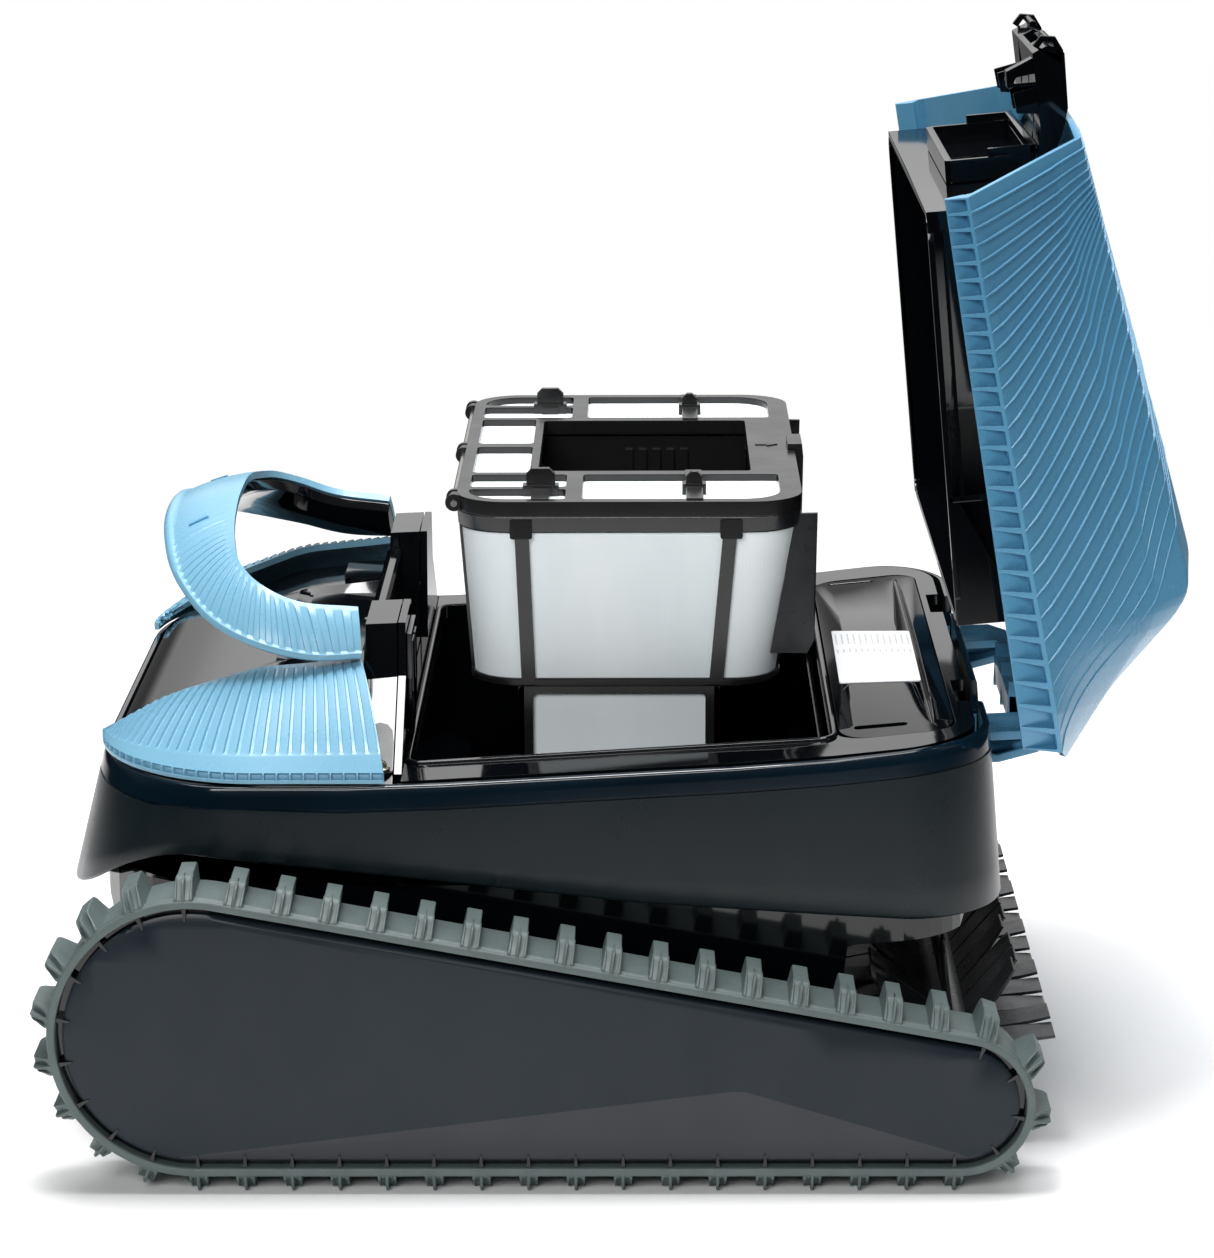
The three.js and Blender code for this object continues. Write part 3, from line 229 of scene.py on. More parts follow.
def rectangle(a0, a1, b0, b1, r=0, steps=5):
    """A rectangle's corners, or its outline with round corners of radius r."""
    b0, b1 = sorted((b0, b1))
    if r <= 0:
        return np.array([(a0, b0), (a1, b0), (a1, b1), (a0, b1)], float)
    turn = np.linspace(0, math.pi / 2, steps + 1)
    spots = [(a1 - r, b1 - r), (a0 + r, b1 - r), (a0 + r, b0 + r), (a1 - r, b0 + r)]
    out = []
    for quarter, (ca, cb) in enumerate(spots):
        angles = turn + quarter * math.pi / 2
        out.extend(zip(ca + r * np.cos(angles), cb + r * np.sin(angles)))
    return np.array(out)


def rod(start, end, r, sides=24):
    """A round bar from start to end."""
    a, b = np.asarray(start, float), np.asarray(end, float)
    along = (b - a) / np.linalg.norm(b - a)
    side = np.cross(along, [0, 0, 1] if abs(along[2]) < 0.9 else [1, 0, 0])
    side /= np.linalg.norm(side)
    other = np.cross(along, side)
    angles = np.linspace(0, 2 * math.pi, sides, endpoint=False)
    ring = np.outer(np.cos(angles), side) + np.outer(np.sin(angles), other)
    return bar([a + ring * r, b + ring * r])


def brick(x0, x1, y0, y1, z0, z1):
    """A box between two corners."""
    return plate(rectangle(x0, x1, y0, y1), z0, z1)


def level_sheet(uv, tris, height, above, below):
    """A thin body that follows a height over its plan, from so far below it to so far above it."""
    return sheet(uv, tris, lambda q: np.column_stack([q, height + above]),
                 lambda q: np.column_stack([q, height - below]))


def both(solid):
    """The same shape on both sides of the centre plane."""
    return Solid().join(solid).join(solid, mirror=True)


def finish_mesh(bm, bevel, segments, angle):
    """Merges doubled corners, bevels the edges sharper than the angle and smooths the rest."""
    bmesh.ops.remove_doubles(bm, verts=bm.verts, dist=2e-6)
    bmesh.ops.recalc_face_normals(bm, faces=bm.faces)
    if bevel:
        hard = [e for e in bm.edges if len(e.link_faces) == 2 and e.calc_face_angle(0) > angle]
        bmesh.ops.bevel(
            bm, geom=hard, offset=bevel / 1000, segments=segments, profile=0.7, affect="EDGES",
            clamp_overlap=True,
        )
    for f in bm.faces:
        f.smooth = True
    for e in bm.edges:
        e.smooth = len(e.link_faces) != 2 or e.calc_face_angle(0) < angle


def piece(name, solid, body, materials, stands_for=(), slot=None, bevel=0.4, segments=2, angle=0.52):
    """Makes the Blender object of a solid, beveled, and sets what it rides on and stands for.

    Pieces of the lid are drawn with it closed and turned open here.
    """
    points = to_frame(opened(solid.points) if body == "lid" else solid.points)
    mesh = bpy.data.meshes.new(name)
    mesh.from_pydata(points.tolist(), [], solid.faces)
    mesh.polygons.foreach_set("material_index", solid.slots)
    bm = bmesh.new()
    bm.from_mesh(mesh)
    finish_mesh(bm, bevel, segments, angle)
    bm.to_mesh(mesh)
    bm.free()
    for material in materials if isinstance(materials, (list, tuple)) else [materials]:
        mesh.materials.append(material)
    obj = bpy.data.objects.new(name, mesh)
    bpy.context.scene.collection.objects.link(obj)
    if bevel:
        weigh = obj.modifiers.new("weigh", "WEIGHTED_NORMAL")
        weigh.keep_sharp = True
    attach(obj, body)
    if stands_for:
        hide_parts(*([stands_for] if isinstance(stands_for, str) else stands_for))
    return obj


def pairs(*kinds):
    """Pieces drawn once, for the left side, and mirrored for the right.

    Each kind is its name, solid, body, materials, the node it stands for, its slot and its finish.
    """
    for side in ("left", "right"):
        for name, solid, body, materials, node, slot, finish in kinds:
            one = Solid().join(solid, mirror=side == "right")
            piece(f"{name}_{side}", one, body, materials, f"{node}_{side}" if node else (), slot, **finish)


# ---- materials
class Nodes:
    """Short names for building a material's nodes."""

    def __init__(self, name):
        self.material = bpy.data.materials.new(name)
        self.material.use_nodes = True
        self.tree = self.material.node_tree
        self.shader = next(n for n in self.tree.nodes if n.type == "BSDF_PRINCIPLED")
        self.place = self.new("ShaderNodeTexCoord").outputs["Object"]

    def new(self, kind, **values):
        node = self.tree.nodes.new(kind)
        for key, value in values.items():
            setattr(node, key, value)
        return node

    def link(self, a, b):
        self.tree.links.new(a, b)

    def noise(self, scale, detail=3.0, rough=0.5, stretch=(1, 1, 1)):
        mapping = self.new("ShaderNodeMapping")
        mapping.inputs["Scale"].default_value = stretch
        self.link(self.place, mapping.inputs["Vector"])
        node = self.new("ShaderNodeTexNoise")
        for socket, number in zip(("Scale", "Detail", "Roughness"), (scale, detail, rough)):
            node.inputs[socket].default_value = number
        self.link(mapping.outputs["Vector"], node.inputs["Vector"])
        return node.outputs["Fac"]

    def spread(self, value, low, high, start=0.3, end=0.7):
        node = self.new("ShaderNodeMapRange")
        self.link(value, node.inputs["Value"])
        for socket, number in zip(("From Min", "From Max", "To Min", "To Max"), (start, end, low, high)):
            node.inputs[socket].default_value = number
        return node.outputs["Result"]

    def blend(self, value, first, second):
        node = self.new("ShaderNodeMix", data_type="RGBA")
        self.link(value, node.inputs["Factor"])
        node.inputs["A"].default_value = (*first, 1)
        node.inputs["B"].default_value = (*second, 1)
        return node.outputs["Result"]

    def math(self, operation, a, b):
        node = self.new("ShaderNodeMath", operation=operation)
        for socket, value in zip(node.inputs, (a, b)):
            if isinstance(value, (int, float)):
                socket.default_value = value
            else:
                self.link(value, socket)
        return node.outputs["Value"]

    def bump(self, height, strength, distance):
        node = self.new("ShaderNodeBump")
        node.inputs["Strength"].default_value = strength
        node.inputs["Distance"].default_value = distance
        self.link(height, node.inputs["Height"])
        self.link(node.outputs["Normal"], self.shader.inputs["Normal"])

    def color(self, value, first, second):
        self.link(self.blend(value, first, second), self.shader.inputs["Base Color"])

    def roughness(self, value, low, high):
        self.link(self.spread(value, low, high), self.shader.inputs["Roughness"])

    def set(self, **values):
        for key, value in values.items():
            self.shader.inputs[key.replace("_", " ")].default_value = value


def srgb(r, g, b):
    """A colour from 0 to 255, as drawn on a screen, in the linear values that the nodes take."""
    return tuple(((c / 255 + 0.055) / 1.055) ** 2.4 if c > 10 else c / 255 / 12.92 for c in (r, g, b))


def plastic(name, light, dark, rough, grain=2600, grain_depth=0.00003, strength=0.25, spot=9,
            specular=0.5):
    """Moulded plastic: a fine texture, faint clouding of the colour, and smudges in the gloss."""
    n = Nodes(name)
    cloud = n.noise(spot, 4, 0.55)
    n.color(n.spread(cloud, 0, 1), light, dark)
    smudge = n.noise(38, 5, 0.6, (1, 1, 0.6))
    n.roughness(smudge, rough * 0.85, rough * 1.2)
    n.bump(n.noise(grain, 2, 0.5), strength, grain_depth)
    n.set(Specular_IOR_Level=specular)
    return n.material


def rubber(name, light, dark, rough):
    """Rubber or soft plastic: a coarser texture and faint clouding of the colour."""
    n = Nodes(name)
    cloud = n.noise(60, 5, 0.6)
    n.color(n.spread(cloud, 0, 1), light, dark)
    n.roughness(n.noise(160, 4, 0.6), rough * 0.85, rough * 1.15)
    n.bump(n.noise(900, 5, 0.65), 0.35, 0.00012)
    return n.material


def cloth(name, light, dark):
    """Fine filter cloth: a plain weave, with soft creases down the panels."""
    n = Nodes(name)
    weave = None
    for direction in ("X", "Y", "Z"):
        wave = n.new("ShaderNodeTexWave", bands_direction=direction, wave_profile="SIN")
        wave.inputs["Scale"].default_value = 210
        n.link(n.place, wave.inputs["Vector"])
        weave = wave.outputs["Fac"] if weave is None else n.math("ADD", weave, wave.outputs["Fac"])
    crease = n.noise(26, 3, 0.5, (1, 1, 0.22))
    n.color(n.spread(crease, 0, 1), light, dark)
    height = n.math("ADD", n.math("MULTIPLY", weave, 0.12), n.math("MULTIPLY", crease, 2.5))
    n.bump(height, 0.3, 0.0004)
    n.set(Roughness=0.62, Sheen_Weight=0.25, IOR=1.35)
    return n.material


def metal(name, color, rough, stretch):
    """Metal with fine lines drawn out one way."""
    n = Nodes(name)
    line = n.noise(700, 4, 0.6, stretch)
    n.color(n.spread(line, 0, 1), color, tuple(c * 0.8 for c in color))
    n.roughness(line, rough * 0.7, rough * 1.3)
    n.bump(line, 0.15, 0.00004)
    n.set(Metallic=1.0)
    return n.material


def printed_label(name):
    """White film with a few plain grey bars in place of its print."""
    n = Nodes(name)
    split = n.new("ShaderNodeSeparateXYZ")
    n.link(n.place, split.inputs["Vector"])
    across = n.math("FRACT", n.math("MULTIPLY", split.outputs["X"], 380.0), 0)
    bars = n.math("LESS_THAN", across, 0.26)
    blocks = n.math("GREATER_THAN", n.math("FRACT", n.math("MULTIPLY", split.outputs["Y"], 41.0), 0), 0.3)
    far = n.math("GREATER_THAN", split.outputs["Y"], -0.030)
    ink = n.math("MULTIPLY", n.math("MULTIPLY", bars, blocks), far)
    smear = n.math("MULTIPLY", ink, n.spread(n.noise(500, 2), 0.25, 0.6))
    n.color(smear, srgb(238, 240, 243), srgb(120, 124, 130))
    n.roughness(n.noise(90, 3), 0.34, 0.44)
    n.bump(n.noise(1500, 2), 0.1, 0.00002)
    return n.material


# The handle and fenders are the same blue plastic as the lid. This lighter, paler copy of it is painted light,
# for the light their upward faces catch.
BLUE_PAINTED_LIGHT = plastic("blue_satin_painted_light", srgb(121, 172, 197), srgb(111, 162, 188), 0.28, strength=0.18, spot=6)
BLUE = plastic("blue_satin", srgb(88, 150, 185), srgb(79, 140, 176), 0.28, strength=0.18, spot=6)
WAVY = {"grain": 120, "grain_depth": 0.00002}
GLOSS = plastic("gloss_black", srgb(7, 9, 12), srgb(4, 6, 9), 0.07, strength=0.12, **WAVY)
BAND = plastic("gloss_band", srgb(8, 26, 38), srgb(5, 18, 27), 0.10, strength=0.1, **WAVY)
HULL = plastic("hull_satin", srgb(17, 27, 31), srgb(13, 23, 27), 0.30, strength=0.3, specular=0.3)
SLATE = plastic("slate_satin", srgb(21, 31, 38), srgb(19, 29, 36), 0.36, strength=0.3, specular=0.3)
# The track cover's lower panel, below the crease, in a second slate: a painted shade difference, for the light
# that panel catches as it slopes.
SLATE_PAINTED_SHADE = plastic("slate_painted_shade", srgb(26, 30, 38), srgb(24, 28, 36), 0.36, strength=0.3)
FRAME = plastic("frame_satin", srgb(27, 27, 28), srgb(22, 22, 23), 0.24, strength=0.35)
SMOKED = plastic("smoked_gloss", srgb(34, 35, 48), srgb(22, 24, 34), 0.06, grain=200, strength=0.1)
BOARD = plastic("board_green", srgb(24, 78, 52), srgb(18, 62, 41), 0.45, grain=500, strength=0.3)
TRACK = rubber("track_rubber", srgb(86, 99, 98), srgb(76, 89, 88), 0.55)
SOFT = rubber("soft_pvc", srgb(36, 38, 41), srgb(26, 28, 31), 0.30)
CLOTH = cloth("filter_cloth", srgb(243, 249, 251), srgb(230, 239, 242))
STEEL = metal("bright_steel", srgb(196, 194, 188), 0.25, (1, 1, 6))
BRASS = metal("warm_steel", srgb(206, 196, 172), 0.22, (4, 4, 1))
LABEL = printed_label("label_film")

NODE_MATERIALS = [
    (GLOSS, "filter_bay lower_hull side_frame_left side_frame_right front_bulkhead top_frame front_deck"
            " handle_liner rear_deck lid_tray lid_duct lid_spine latch_button"),
    (FRAME, "front_wheel_left front_wheel_right rear_wheel_left rear_wheel_right drive_sprocket_left"
            " drive_sprocket_right motor_housing motor_base pump_impeller impeller_guard basket_frame"
            " basket_lower basket_cover basket_catch"),
    (STEEL, "pump_motor drive_motor_left drive_motor_right basket_hinge_pin hinge_pin"),
    (BRASS, "screw_left screw_right"),
    (BOARD, "control_board"),
    (HULL, "body_shell"),
    # The handle and fenders take the lighter, painted-light copy of the blue plastic.
    (BLUE_PAINTED_LIGHT, "fender_left fender_right handle"),
    (BLUE, "lid_shell hinge_arm_left hinge_arm_right"),
    (SMOKED, "hood_clasp"),
    (LABEL, "rating_label"),
    (TRACK, "track_left track_right"),
    (SLATE, "side_cover_left side_cover_right"),
    (CLOTH, "basket_mesh basket_cover_mesh lower_mesh_left lower_mesh_right"),
    (SOFT, "basket_wing_left basket_wing_right inlet_flap_left inlet_flap_right rear_brush"),
]
for material, nodes in NODE_MATERIALS:
    for node in nodes.split():
        mesh = frame["nodes"][node].data
        mesh.materials.clear()
        mesh.materials.append(material)

# ---- camera, floor and lights
PITCH, YAW, ROLL = 0.24795, -0.00982, -0.00404
camera_data = bpy.data.cameras.new("camera")
camera_data.lens = 114.47
camera_data.sensor_width = 36
camera_data.clip_end = 60
camera = bpy.data.objects.new("camera", camera_data)
bpy.context.scene.collection.objects.link(camera)
bpy.context.scene.camera = camera
forward = np.array([math.sin(YAW) * math.cos(PITCH), math.cos(YAW) * math.cos(PITCH), -math.sin(PITCH)])
right = np.array([math.cos(YAW), -math.sin(YAW), 0])
up = np.cross(right, forward)
right, up = (
    math.cos(ROLL) * right + math.sin(ROLL) * up,
    math.cos(ROLL) * up - math.sin(ROLL) * right,
)
turn = Matrix([[right[i], up[i], -forward[i], 0] for i in range(3)] + [[0, 0, 0, 1]])
camera.matrix_world = Matrix.Translation(Vector(to_frame([41.88, -1716.0, 616.34])[0])) @ turn


def look_at(obj, target):
    """Points a light at a place."""
    aim = Vector(target) - obj.location
    obj.rotation_euler = aim.to_track_quat("-Z", "Y").to_euler()


def soft_light(name, spot, target, size, power):
    """A rectangular lamp, in metres and watts."""
    data = bpy.data.lights.new(name, "AREA")
    data.shape = "RECTANGLE"
    data.size, data.size_y = size
    data.energy = power
    obj = bpy.data.objects.new(name, data)
    bpy.context.scene.collection.objects.link(obj)
    obj.location = spot
    look_at(obj, target)
    return obj


bpy.context.scene.view_settings.view_transform = "Standard"
soft_light("top_box", (0.1, 0.5, 2.2), (0, 0, 0.1), (2.4, 1.8), 50)
soft_light("key_box", (-0.12, -0.12, 1.9), (-0.1, -0.1, 0.1), (0.55, 0.6), 22)
soft_light("front_box", (-0.6, -2.3, 1.5), (0, 0, 0.15), (1.3, 1.0), 36)
soft_light("side_box", (1.9, -1.0, 1.1), (0, 0, 0.2), (0.8, 1.2), 0.8)

world = bpy.data.worlds.new("studio")
bpy.context.scene.world = world
world.use_nodes = True
tree = world.node_tree
background = next(n for n in tree.nodes if n.type == "BACKGROUND")
coords = tree.nodes.new("ShaderNodeTexCoord")
split = tree.nodes.new("ShaderNodeSeparateXYZ")
tree.links.new(coords.outputs["Generated"], split.inputs["Vector"])


def direction_ramp(axis, start, end, low, high):
    """Strength that goes from low to high as the direction's part along the axis goes from start to end."""
    node = tree.nodes.new("ShaderNodeMapRange")
    for socket, value in zip(("From Min", "From Max", "To Min", "To Max"), (start, end, low, high)):
        node.inputs[socket].default_value = value
    tree.links.new(split.outputs[axis], node.inputs["Value"])
    return node.outputs["Result"]


def combine(operation, a, b):
    """The result of one sum of two sockets."""
    node = tree.nodes.new("ShaderNodeMath")
    node.operation = operation
    tree.links.new(a, node.inputs[0])
    tree.links.new(b, node.inputs[1])
    return node.outputs["Value"]


# The far side of the studio is bright. It darkens towards the viewer, beyond the nose, beyond the lid and
# near the floor. The backdrop behind the object is white.
lighting = direction_ramp("Y", -0.35, 0.25, 0.1, 1)
for axis, start, end, low, high in (
    ("X", -0.4, -0.22, 0.08, 1), ("X", 0.3, 0.75, 1, 0.45), ("Z", 0.07, 0.17, 0.12, 1)
):
    lighting = combine("MULTIPLY", lighting, direction_ramp(axis, start, end, low, high))
backdrop = tree.nodes.new("ShaderNodeLightPath").outputs["Is Camera Ray"]
tree.links.new(combine("MAXIMUM", lighting, backdrop), background.inputs["Strength"])
background.inputs["Color"].default_value = (1, 1, 1, 1)

# The floor is a disc of this radius, in metres.
FLOOR_REACH = 1.9
ring = []
for a in np.linspace(0, 2 * math.pi, 96)[:-1]:
    ring.append((FLOOR_REACH * math.cos(a), FLOOR_REACH * math.sin(a), 0))
floor_mesh = bpy.data.meshes.new("floor")
floor_mesh.from_pydata(ring, [], [tuple(range(len(ring)))])
floor = bpy.data.objects.new("floor", floor_mesh)
bpy.context.scene.collection.objects.link(floor)
paper = Nodes("floor_paper")
paper.color(paper.noise(3, 2), (0.93, 0.93, 0.935), (0.91, 0.91, 0.915))
paper.set(Roughness=0.85)
reach = paper.new("ShaderNodeVectorMath", operation="LENGTH")
paper.link(paper.place, reach.inputs[0])
# The floor fades out between these distances, in metres, from the middle.
FADE_START, FADE_END = 0.5, 1.2
paper.link(paper.spread(reach.outputs["Value"], 1, 0, FADE_START, FADE_END), paper.shader.inputs["Alpha"])
floor_mesh.materials.append(paper.material)

# ---- lid shell
GUSSETS = 28


def spacing(s):
    """The gussets stand wider apart towards the hinge."""
    return 0.76 * s + 0.24 * s * s


def soft(pairs, x, reach=7.0):
    """A graph through the pairs with its corners rounded over the reach."""
    (xa, va), (xb, vb), (xc, vc), (xd, vd) = pairs[0], pairs[1], pairs[-2], pairs[-1]
    ends = 3 * reach
    before = (xa - ends, va - ends * (vb - va) / (xb - xa))
    after = (xd + ends, vd + ends * (vd - vc) / (xd - xc))
    longer = [before, *pairs, after]
    offsets = np.linspace(-reach, reach, 9)
    return np.mean([graph(longer, np.asarray(x, float) + o) for o in offsets], 0)


# Where each line of the lid's section starts at the front, and how far it runs: rim, top of the gusset
# strip, crease, ridge, halfway to the middle, and the middle.
LID_START = np.array([-63, -63.5, -71.5, -75.6, -75.8, -76])
LID_RUN = np.array([226.5, 230.5, 248.5, 254.1, 255.05, 256])


def lid_lines(t):
    """The six lines of the lid's section at t along it, from the rim to the middle."""
    x = LID_START[:, None] + LID_RUN[:, None] * t
    y = np.zeros_like(x)
    z = np.zeros_like(x)
    y[0] = graph([(-66, 159), (150, 159), (164, 155)], x[0])
    z[0] = graph([(-63, 158.6), (164, 174.2)], x[0])
    y[1] = graph([(-66, 161.5), (150, 161.5), (167, 154)], x[1])
    z[1] = graph([(-66, 167.5), (164, 190)], x[1])
    y[2] = soft([(-72, 121), (118, 100), (150, 112), (179, 128)], x[2])
    z[2] = soft([(-72, 203), (118, 238), (128, 236), (179, 192)], x[2])
    y[3] = soft([(-78, 109), (118, 84), (140, 90), (179, 100)], x[3])
    z[3] = soft([(-78, 217.5), (118, 254), (126, 252), (179, 193)], x[3])
    top = soft([(-79, 221), (60, 251), (118, 262), (126, 259), (179, 194)], x[5])
    y[4] = y[3] / 2
    z[4] = (z[3] + 3 * top) / 4
    z[5] = top
    return np.stack([x, y, z], -1)


def lid_point(t, w):
    """Point of the lid's face at t along it and w across it, from the rim, 0, to the middle, 5."""
    t = np.atleast_1d(np.asarray(t, float))
    w = np.broadcast_to(np.asarray(w, float), t.shape)
    lines = lid_lines(t)
    out = np.zeros((len(t), 3))
    spreads = (-0.03, 0.0, 0.03)
    for offset in spreads:
        at = np.where(w <= 1.12, w, np.clip(w + offset, 0, 5))
        k = np.clip(np.floor(at).astype(int), 0, 4)
        f = (at - k)[:, None]
        n = np.arange(len(t))
        out += lines[k, n] * (1 - f) + lines[k + 1, n] * f
    return out / len(spreads)


def lid_normal(t, w):
    """The way out of the lid's face at t along it and w across it."""
    along = lid_point(np.clip(t + 0.004, 0, 1), w) - lid_point(np.clip(t - 0.004, 0, 1), w)
    across = lid_point(t, np.clip(w + 0.02, 0, 5)) - lid_point(t, np.clip(w - 0.02, 0, 5))
    normal = np.cross(along, across)
    normal *= np.where(normal[:, 1:2] + normal[:, 2:3] < 0, -1, 1)
    return normal / np.linalg.norm(normal, axis=1)[:, None]


def lid_half():
    """Outer and inner faces of one side, in rows along the lid: windows between the gussets below."""
    strip = [0, 0.04, 0.44, 0.83, 0.88]
    rest = [1, 1.1, 1.3, 1.6, 1.9, 1.97, 2.03, 2.1, 2.4, 2.7, 2.88, 2.96, 3.04, 3.12, 3.4, 3.7, 4, 4.5, 5]
    outer, inner = [], []
    for k in range(GUSSETS):
        for kind in range(6):
            front, back = [], []
            for w in strip + rest:
                edge = 0.05 + 0.1 * min(w, 1)
                phase = (0, edge, edge + 0.03, 0.5, 0.97 - edge, 1 - edge)[kind]
                t = spacing((k + phase) / GUSSETS)
                p = lid_point(t, w)[0]
                sunk = 6.0 * w if kind in (2, 3, 4) and 0.04 < w < 0.86 else 0.0
                if w < 1:
                    front.append(p - (0, sunk, 0))
                    back.append(p - (0, 2.6 + max(0, 6.5 * min(w, 0.9)), 0))
                else:
                    n = lid_normal(np.array([t]), w)[0]
                    front.append(p)
                    back.append(p - n * 2.5 - ((0, 5.5, 0) if w == 1 else (0, 0, 0)))
            outer.append(front)
            inner.append(back)
    end = [lid_point(1.0, w)[0] for w in strip + rest]
    outer.append(end)
    inner.append([p - (1.0, 2.4 if w < 2 else 0, 2.5 if w > 1.5 else 0) for p, w in zip(end, strip + rest)])
    return np.array(outer), np.array(inner)


def whole_width(half):
    """Rows of one side carried on over the middle to the other side."""
    other = half[:, :-1][:, ::-1] * np.array([1, -1, 1])
    return np.concatenate([half, other], 1)


outer_half, inner_half = lid_half()
lid_face = slab(whole_width(outer_half), whole_width(inner_half))


def lid_ridge(k):
    """A thin raised line that runs from a gusset up and forwards over the crease to the top."""
    t0 = spacing(k / GUSSETS)
    x0 = LID_START[1] + LID_RUN[1] * t0
    reach = 8 + 38 * float(ease((x0 + 66) / 120))
    points, normals, heights = [], [], []
    for w in np.linspace(1.0, 4.9, 40):
        x = x0 - reach * ((w - 1) ** 1.12 if w < 2 else 1 + 0.62 * (w - 2) ** 0.9)
        start, run = np.interp(w, range(6), LID_START), np.interp(w, range(6), LID_RUN)
        t = (x - start) / run
        if t < 0.004:
            break
        points.append(lid_point(t, w)[0])
        normals.append(lid_normal(np.array([t]), w)[0])
        heights.append(0.85 * min(1, 0.25 + (w - 1) * 8) * min(1, (4.9 - w) / 0.8) * (0.45 if k > 24 else 1))
    if len(points) < 3:
        return None
    points, normals = np.array(points), np.array(normals)
    along = np.gradient(points, axis=0)
    side = np.cross(normals, along)
    side /= np.linalg.norm(side, axis=1)[:, None]
    h = np.array(heights)[:, None]
    section = [(1.0, -0.5), (0.35, h), (-0.3, h), (-0.75, -0.5)]
    return bar(np.stack([points + side * a + normals * b for a, b in section], 1))


for k in range(1, GUSSETS + 1):
    ridge = lid_ridge(k)
    if ridge:
        lid_face.join(both(ridge))
piece("lid_panel", lid_face, "lid", BLUE, "lid_shell", "blue_plastic", bevel=0.3, segments=1, angle=0.6)

# ---- body shell
BODY = {"front": -201.0, "rear": 190.0, "half": 165.0, "rx": 72.0, "ry": 80.0, "rr": 42.0}
RIM = [(-201, 157.4), (-64, 157), (23, 162), (104, 166.5), (165, 173), (190, 174)]
SKIRT = [(-201, 98), (-190, 107), (-176, 119), (-152, 129), (-120, 126), (-38, 117), (40, 108), (146, 101),
         (190, 101)]


def body_outline(inset, steps=18):
    """The body's plan, so far inside its outer face."""
    half = BODY["half"] - inset
    rx, ry, rr = BODY["rx"] - inset, BODY["ry"] - inset, BODY["rr"] - inset
    front, rear = BODY["front"] + inset, BODY["rear"] - inset
    points = []

    def corner(cx, cy, ax, ay, start):
        for a in np.linspace(start, start + math.pi / 2, steps + 1):
            points.append((cx + ax * math.cos(a), cy + ay * math.sin(a)))

    corner(rear - rr, half - rr, rr, rr, 0)
    points.extend((x, half) for x in (120, 80, 40, 0, -40, -80))
    corner(front + rx, half - ry, rx, ry, math.pi / 2)
    points.extend((front, y) for y in (55, 20, -20, -55))
    corner(front + rx, ry - half, rx, ry, math.pi)
    points.extend((x, -half) for x in (-80, -40, 0, 40, 80, 120))
    corner(rear - rr, rr - half, rr, rr, 1.5 * math.pi)
    levels = (-94.4, -94, -93.6, -60.4, -60, -59.6, -20, 20, 59.6, 60, 60.4, 93.6, 94, 94.4)
    points.extend((rear, y) for y in levels)
    return np.array(points)


def lean(x, t):
    """Where a place along the body moves to at a share t of the wall's height: nose and tail lean."""
    nose = graph([(-201, 15), (-110, 0)], x)
    tail = graph([(100, 0), (190, 6)], x)
    return x + t * (nose - tail)


def rim_height(x):
    """Height of the body's rim."""
    return soft(RIM, x, 9)


outline, shrunk = body_outline(0.0), body_outline(1.0)
inward = shrunk - outline
# The wall's section from the inside bottom, round the skirt's edge and up to the rim: height as a share
# of the wall, height in millimetres added to it, and the inset.
WALL_SECTION = [
    (0, 0.0, 3.0), (0, 0.0, 1.5), (0, 0.5, 0.5), (0, 1.6, 0.0), (0.2, 0, 0), (0.45, 0, 0), (0.7, 0, 0),
    (1, -10.6, 0.0), (1, -10.3, 0.7), (1, -9.6, 0.7), (1, -9.3, 0.0), (1, -5, 0), (1, -1.1, 0.0),
    (1, -0.35, 0.35), (1, 0.0, 1.2), (1, 0.0, 3.0), (0.6, 0, 3.0), (0.3, 0, 3.0),
]
# The rim drops to this height where the hinge's arms pass over the rear wall.
ARM_NOTCH = 145.5
rings = []
for (x, y), step in zip(outline, inward):
    low, high = float(soft(SKIRT, x, 9)), float(rim_height(x))
    if x > 172.6 and 60 < abs(y) < 94:
        high = ARM_NOTCH
    ring = []
    for share, extra, inset in WALL_SECTION:
        t = share + extra / (high - low)
        px, py = np.array([x, y]) + step * inset
        ring.append((lean(px, t), py * (1 - 0.012 * t * t), low + (high - low) * t))
    rings.append(ring)
wall = sweep(rings)
# The faces of the section between these two corners are the glossy band under the rim.
BAND_START, BAND_END = 8, 14
count = len(WALL_SECTION)
wall.slots = [1 if BAND_START <= i % count <= BAND_END else 0 for i in range(len(wall.faces))]
# A plain oval on the nose, in rings from its raised face back into the wall.
badge = []
for lift, grow in ((0.9, 0.94), (0.5, 1), (-1.0, 1)):
    ring = []
    for a in np.linspace(0, 2 * math.pi, 40, endpoint=False):
        y, z = 27 * grow * math.cos(a), 131 + 9.5 * grow * math.sin(a)
        t = (z - SKIRT[0][1]) / (RIM[0][1] - SKIRT[0][1])
        ring.append((lean(BODY["front"], t) - lift, y, z))
    badge.append(ring)
wall.join(bar(badge[::-1]), slot=1)
piece("body_wall", wall, "hull", [HULL, BAND], "body_shell", "hull_matte", bevel=0, angle=0.7)

# ---- fenders
RIBS = 28
# The row of windows: where each starts and ends as a share of a rib, and how deep it is cut.
WINDOW_START, WINDOW_END, WINDOW_CUT = 0.1, 0.87, -1.7
PROUD, THICK = 0.9, 2.8


def fender_edge(u):
    """The fender's outer edge in plan, from the lid forwards and round the corner."""
    y = BODY["half"] - 3
    cx, cy = BODY["front"] + 13 + BODY["rx"], y - BODY["ry"] + 2
    straight = 0.34
    if u < straight:
        return -64 + (cx + 64) * u / straight, y
    angle = (u - straight) / (1 - straight) * 0.93 * math.pi / 2
    return cx - (BODY["rx"] - 1) * math.sin(angle), cy + (BODY["ry"] - 2) * math.cos(angle)


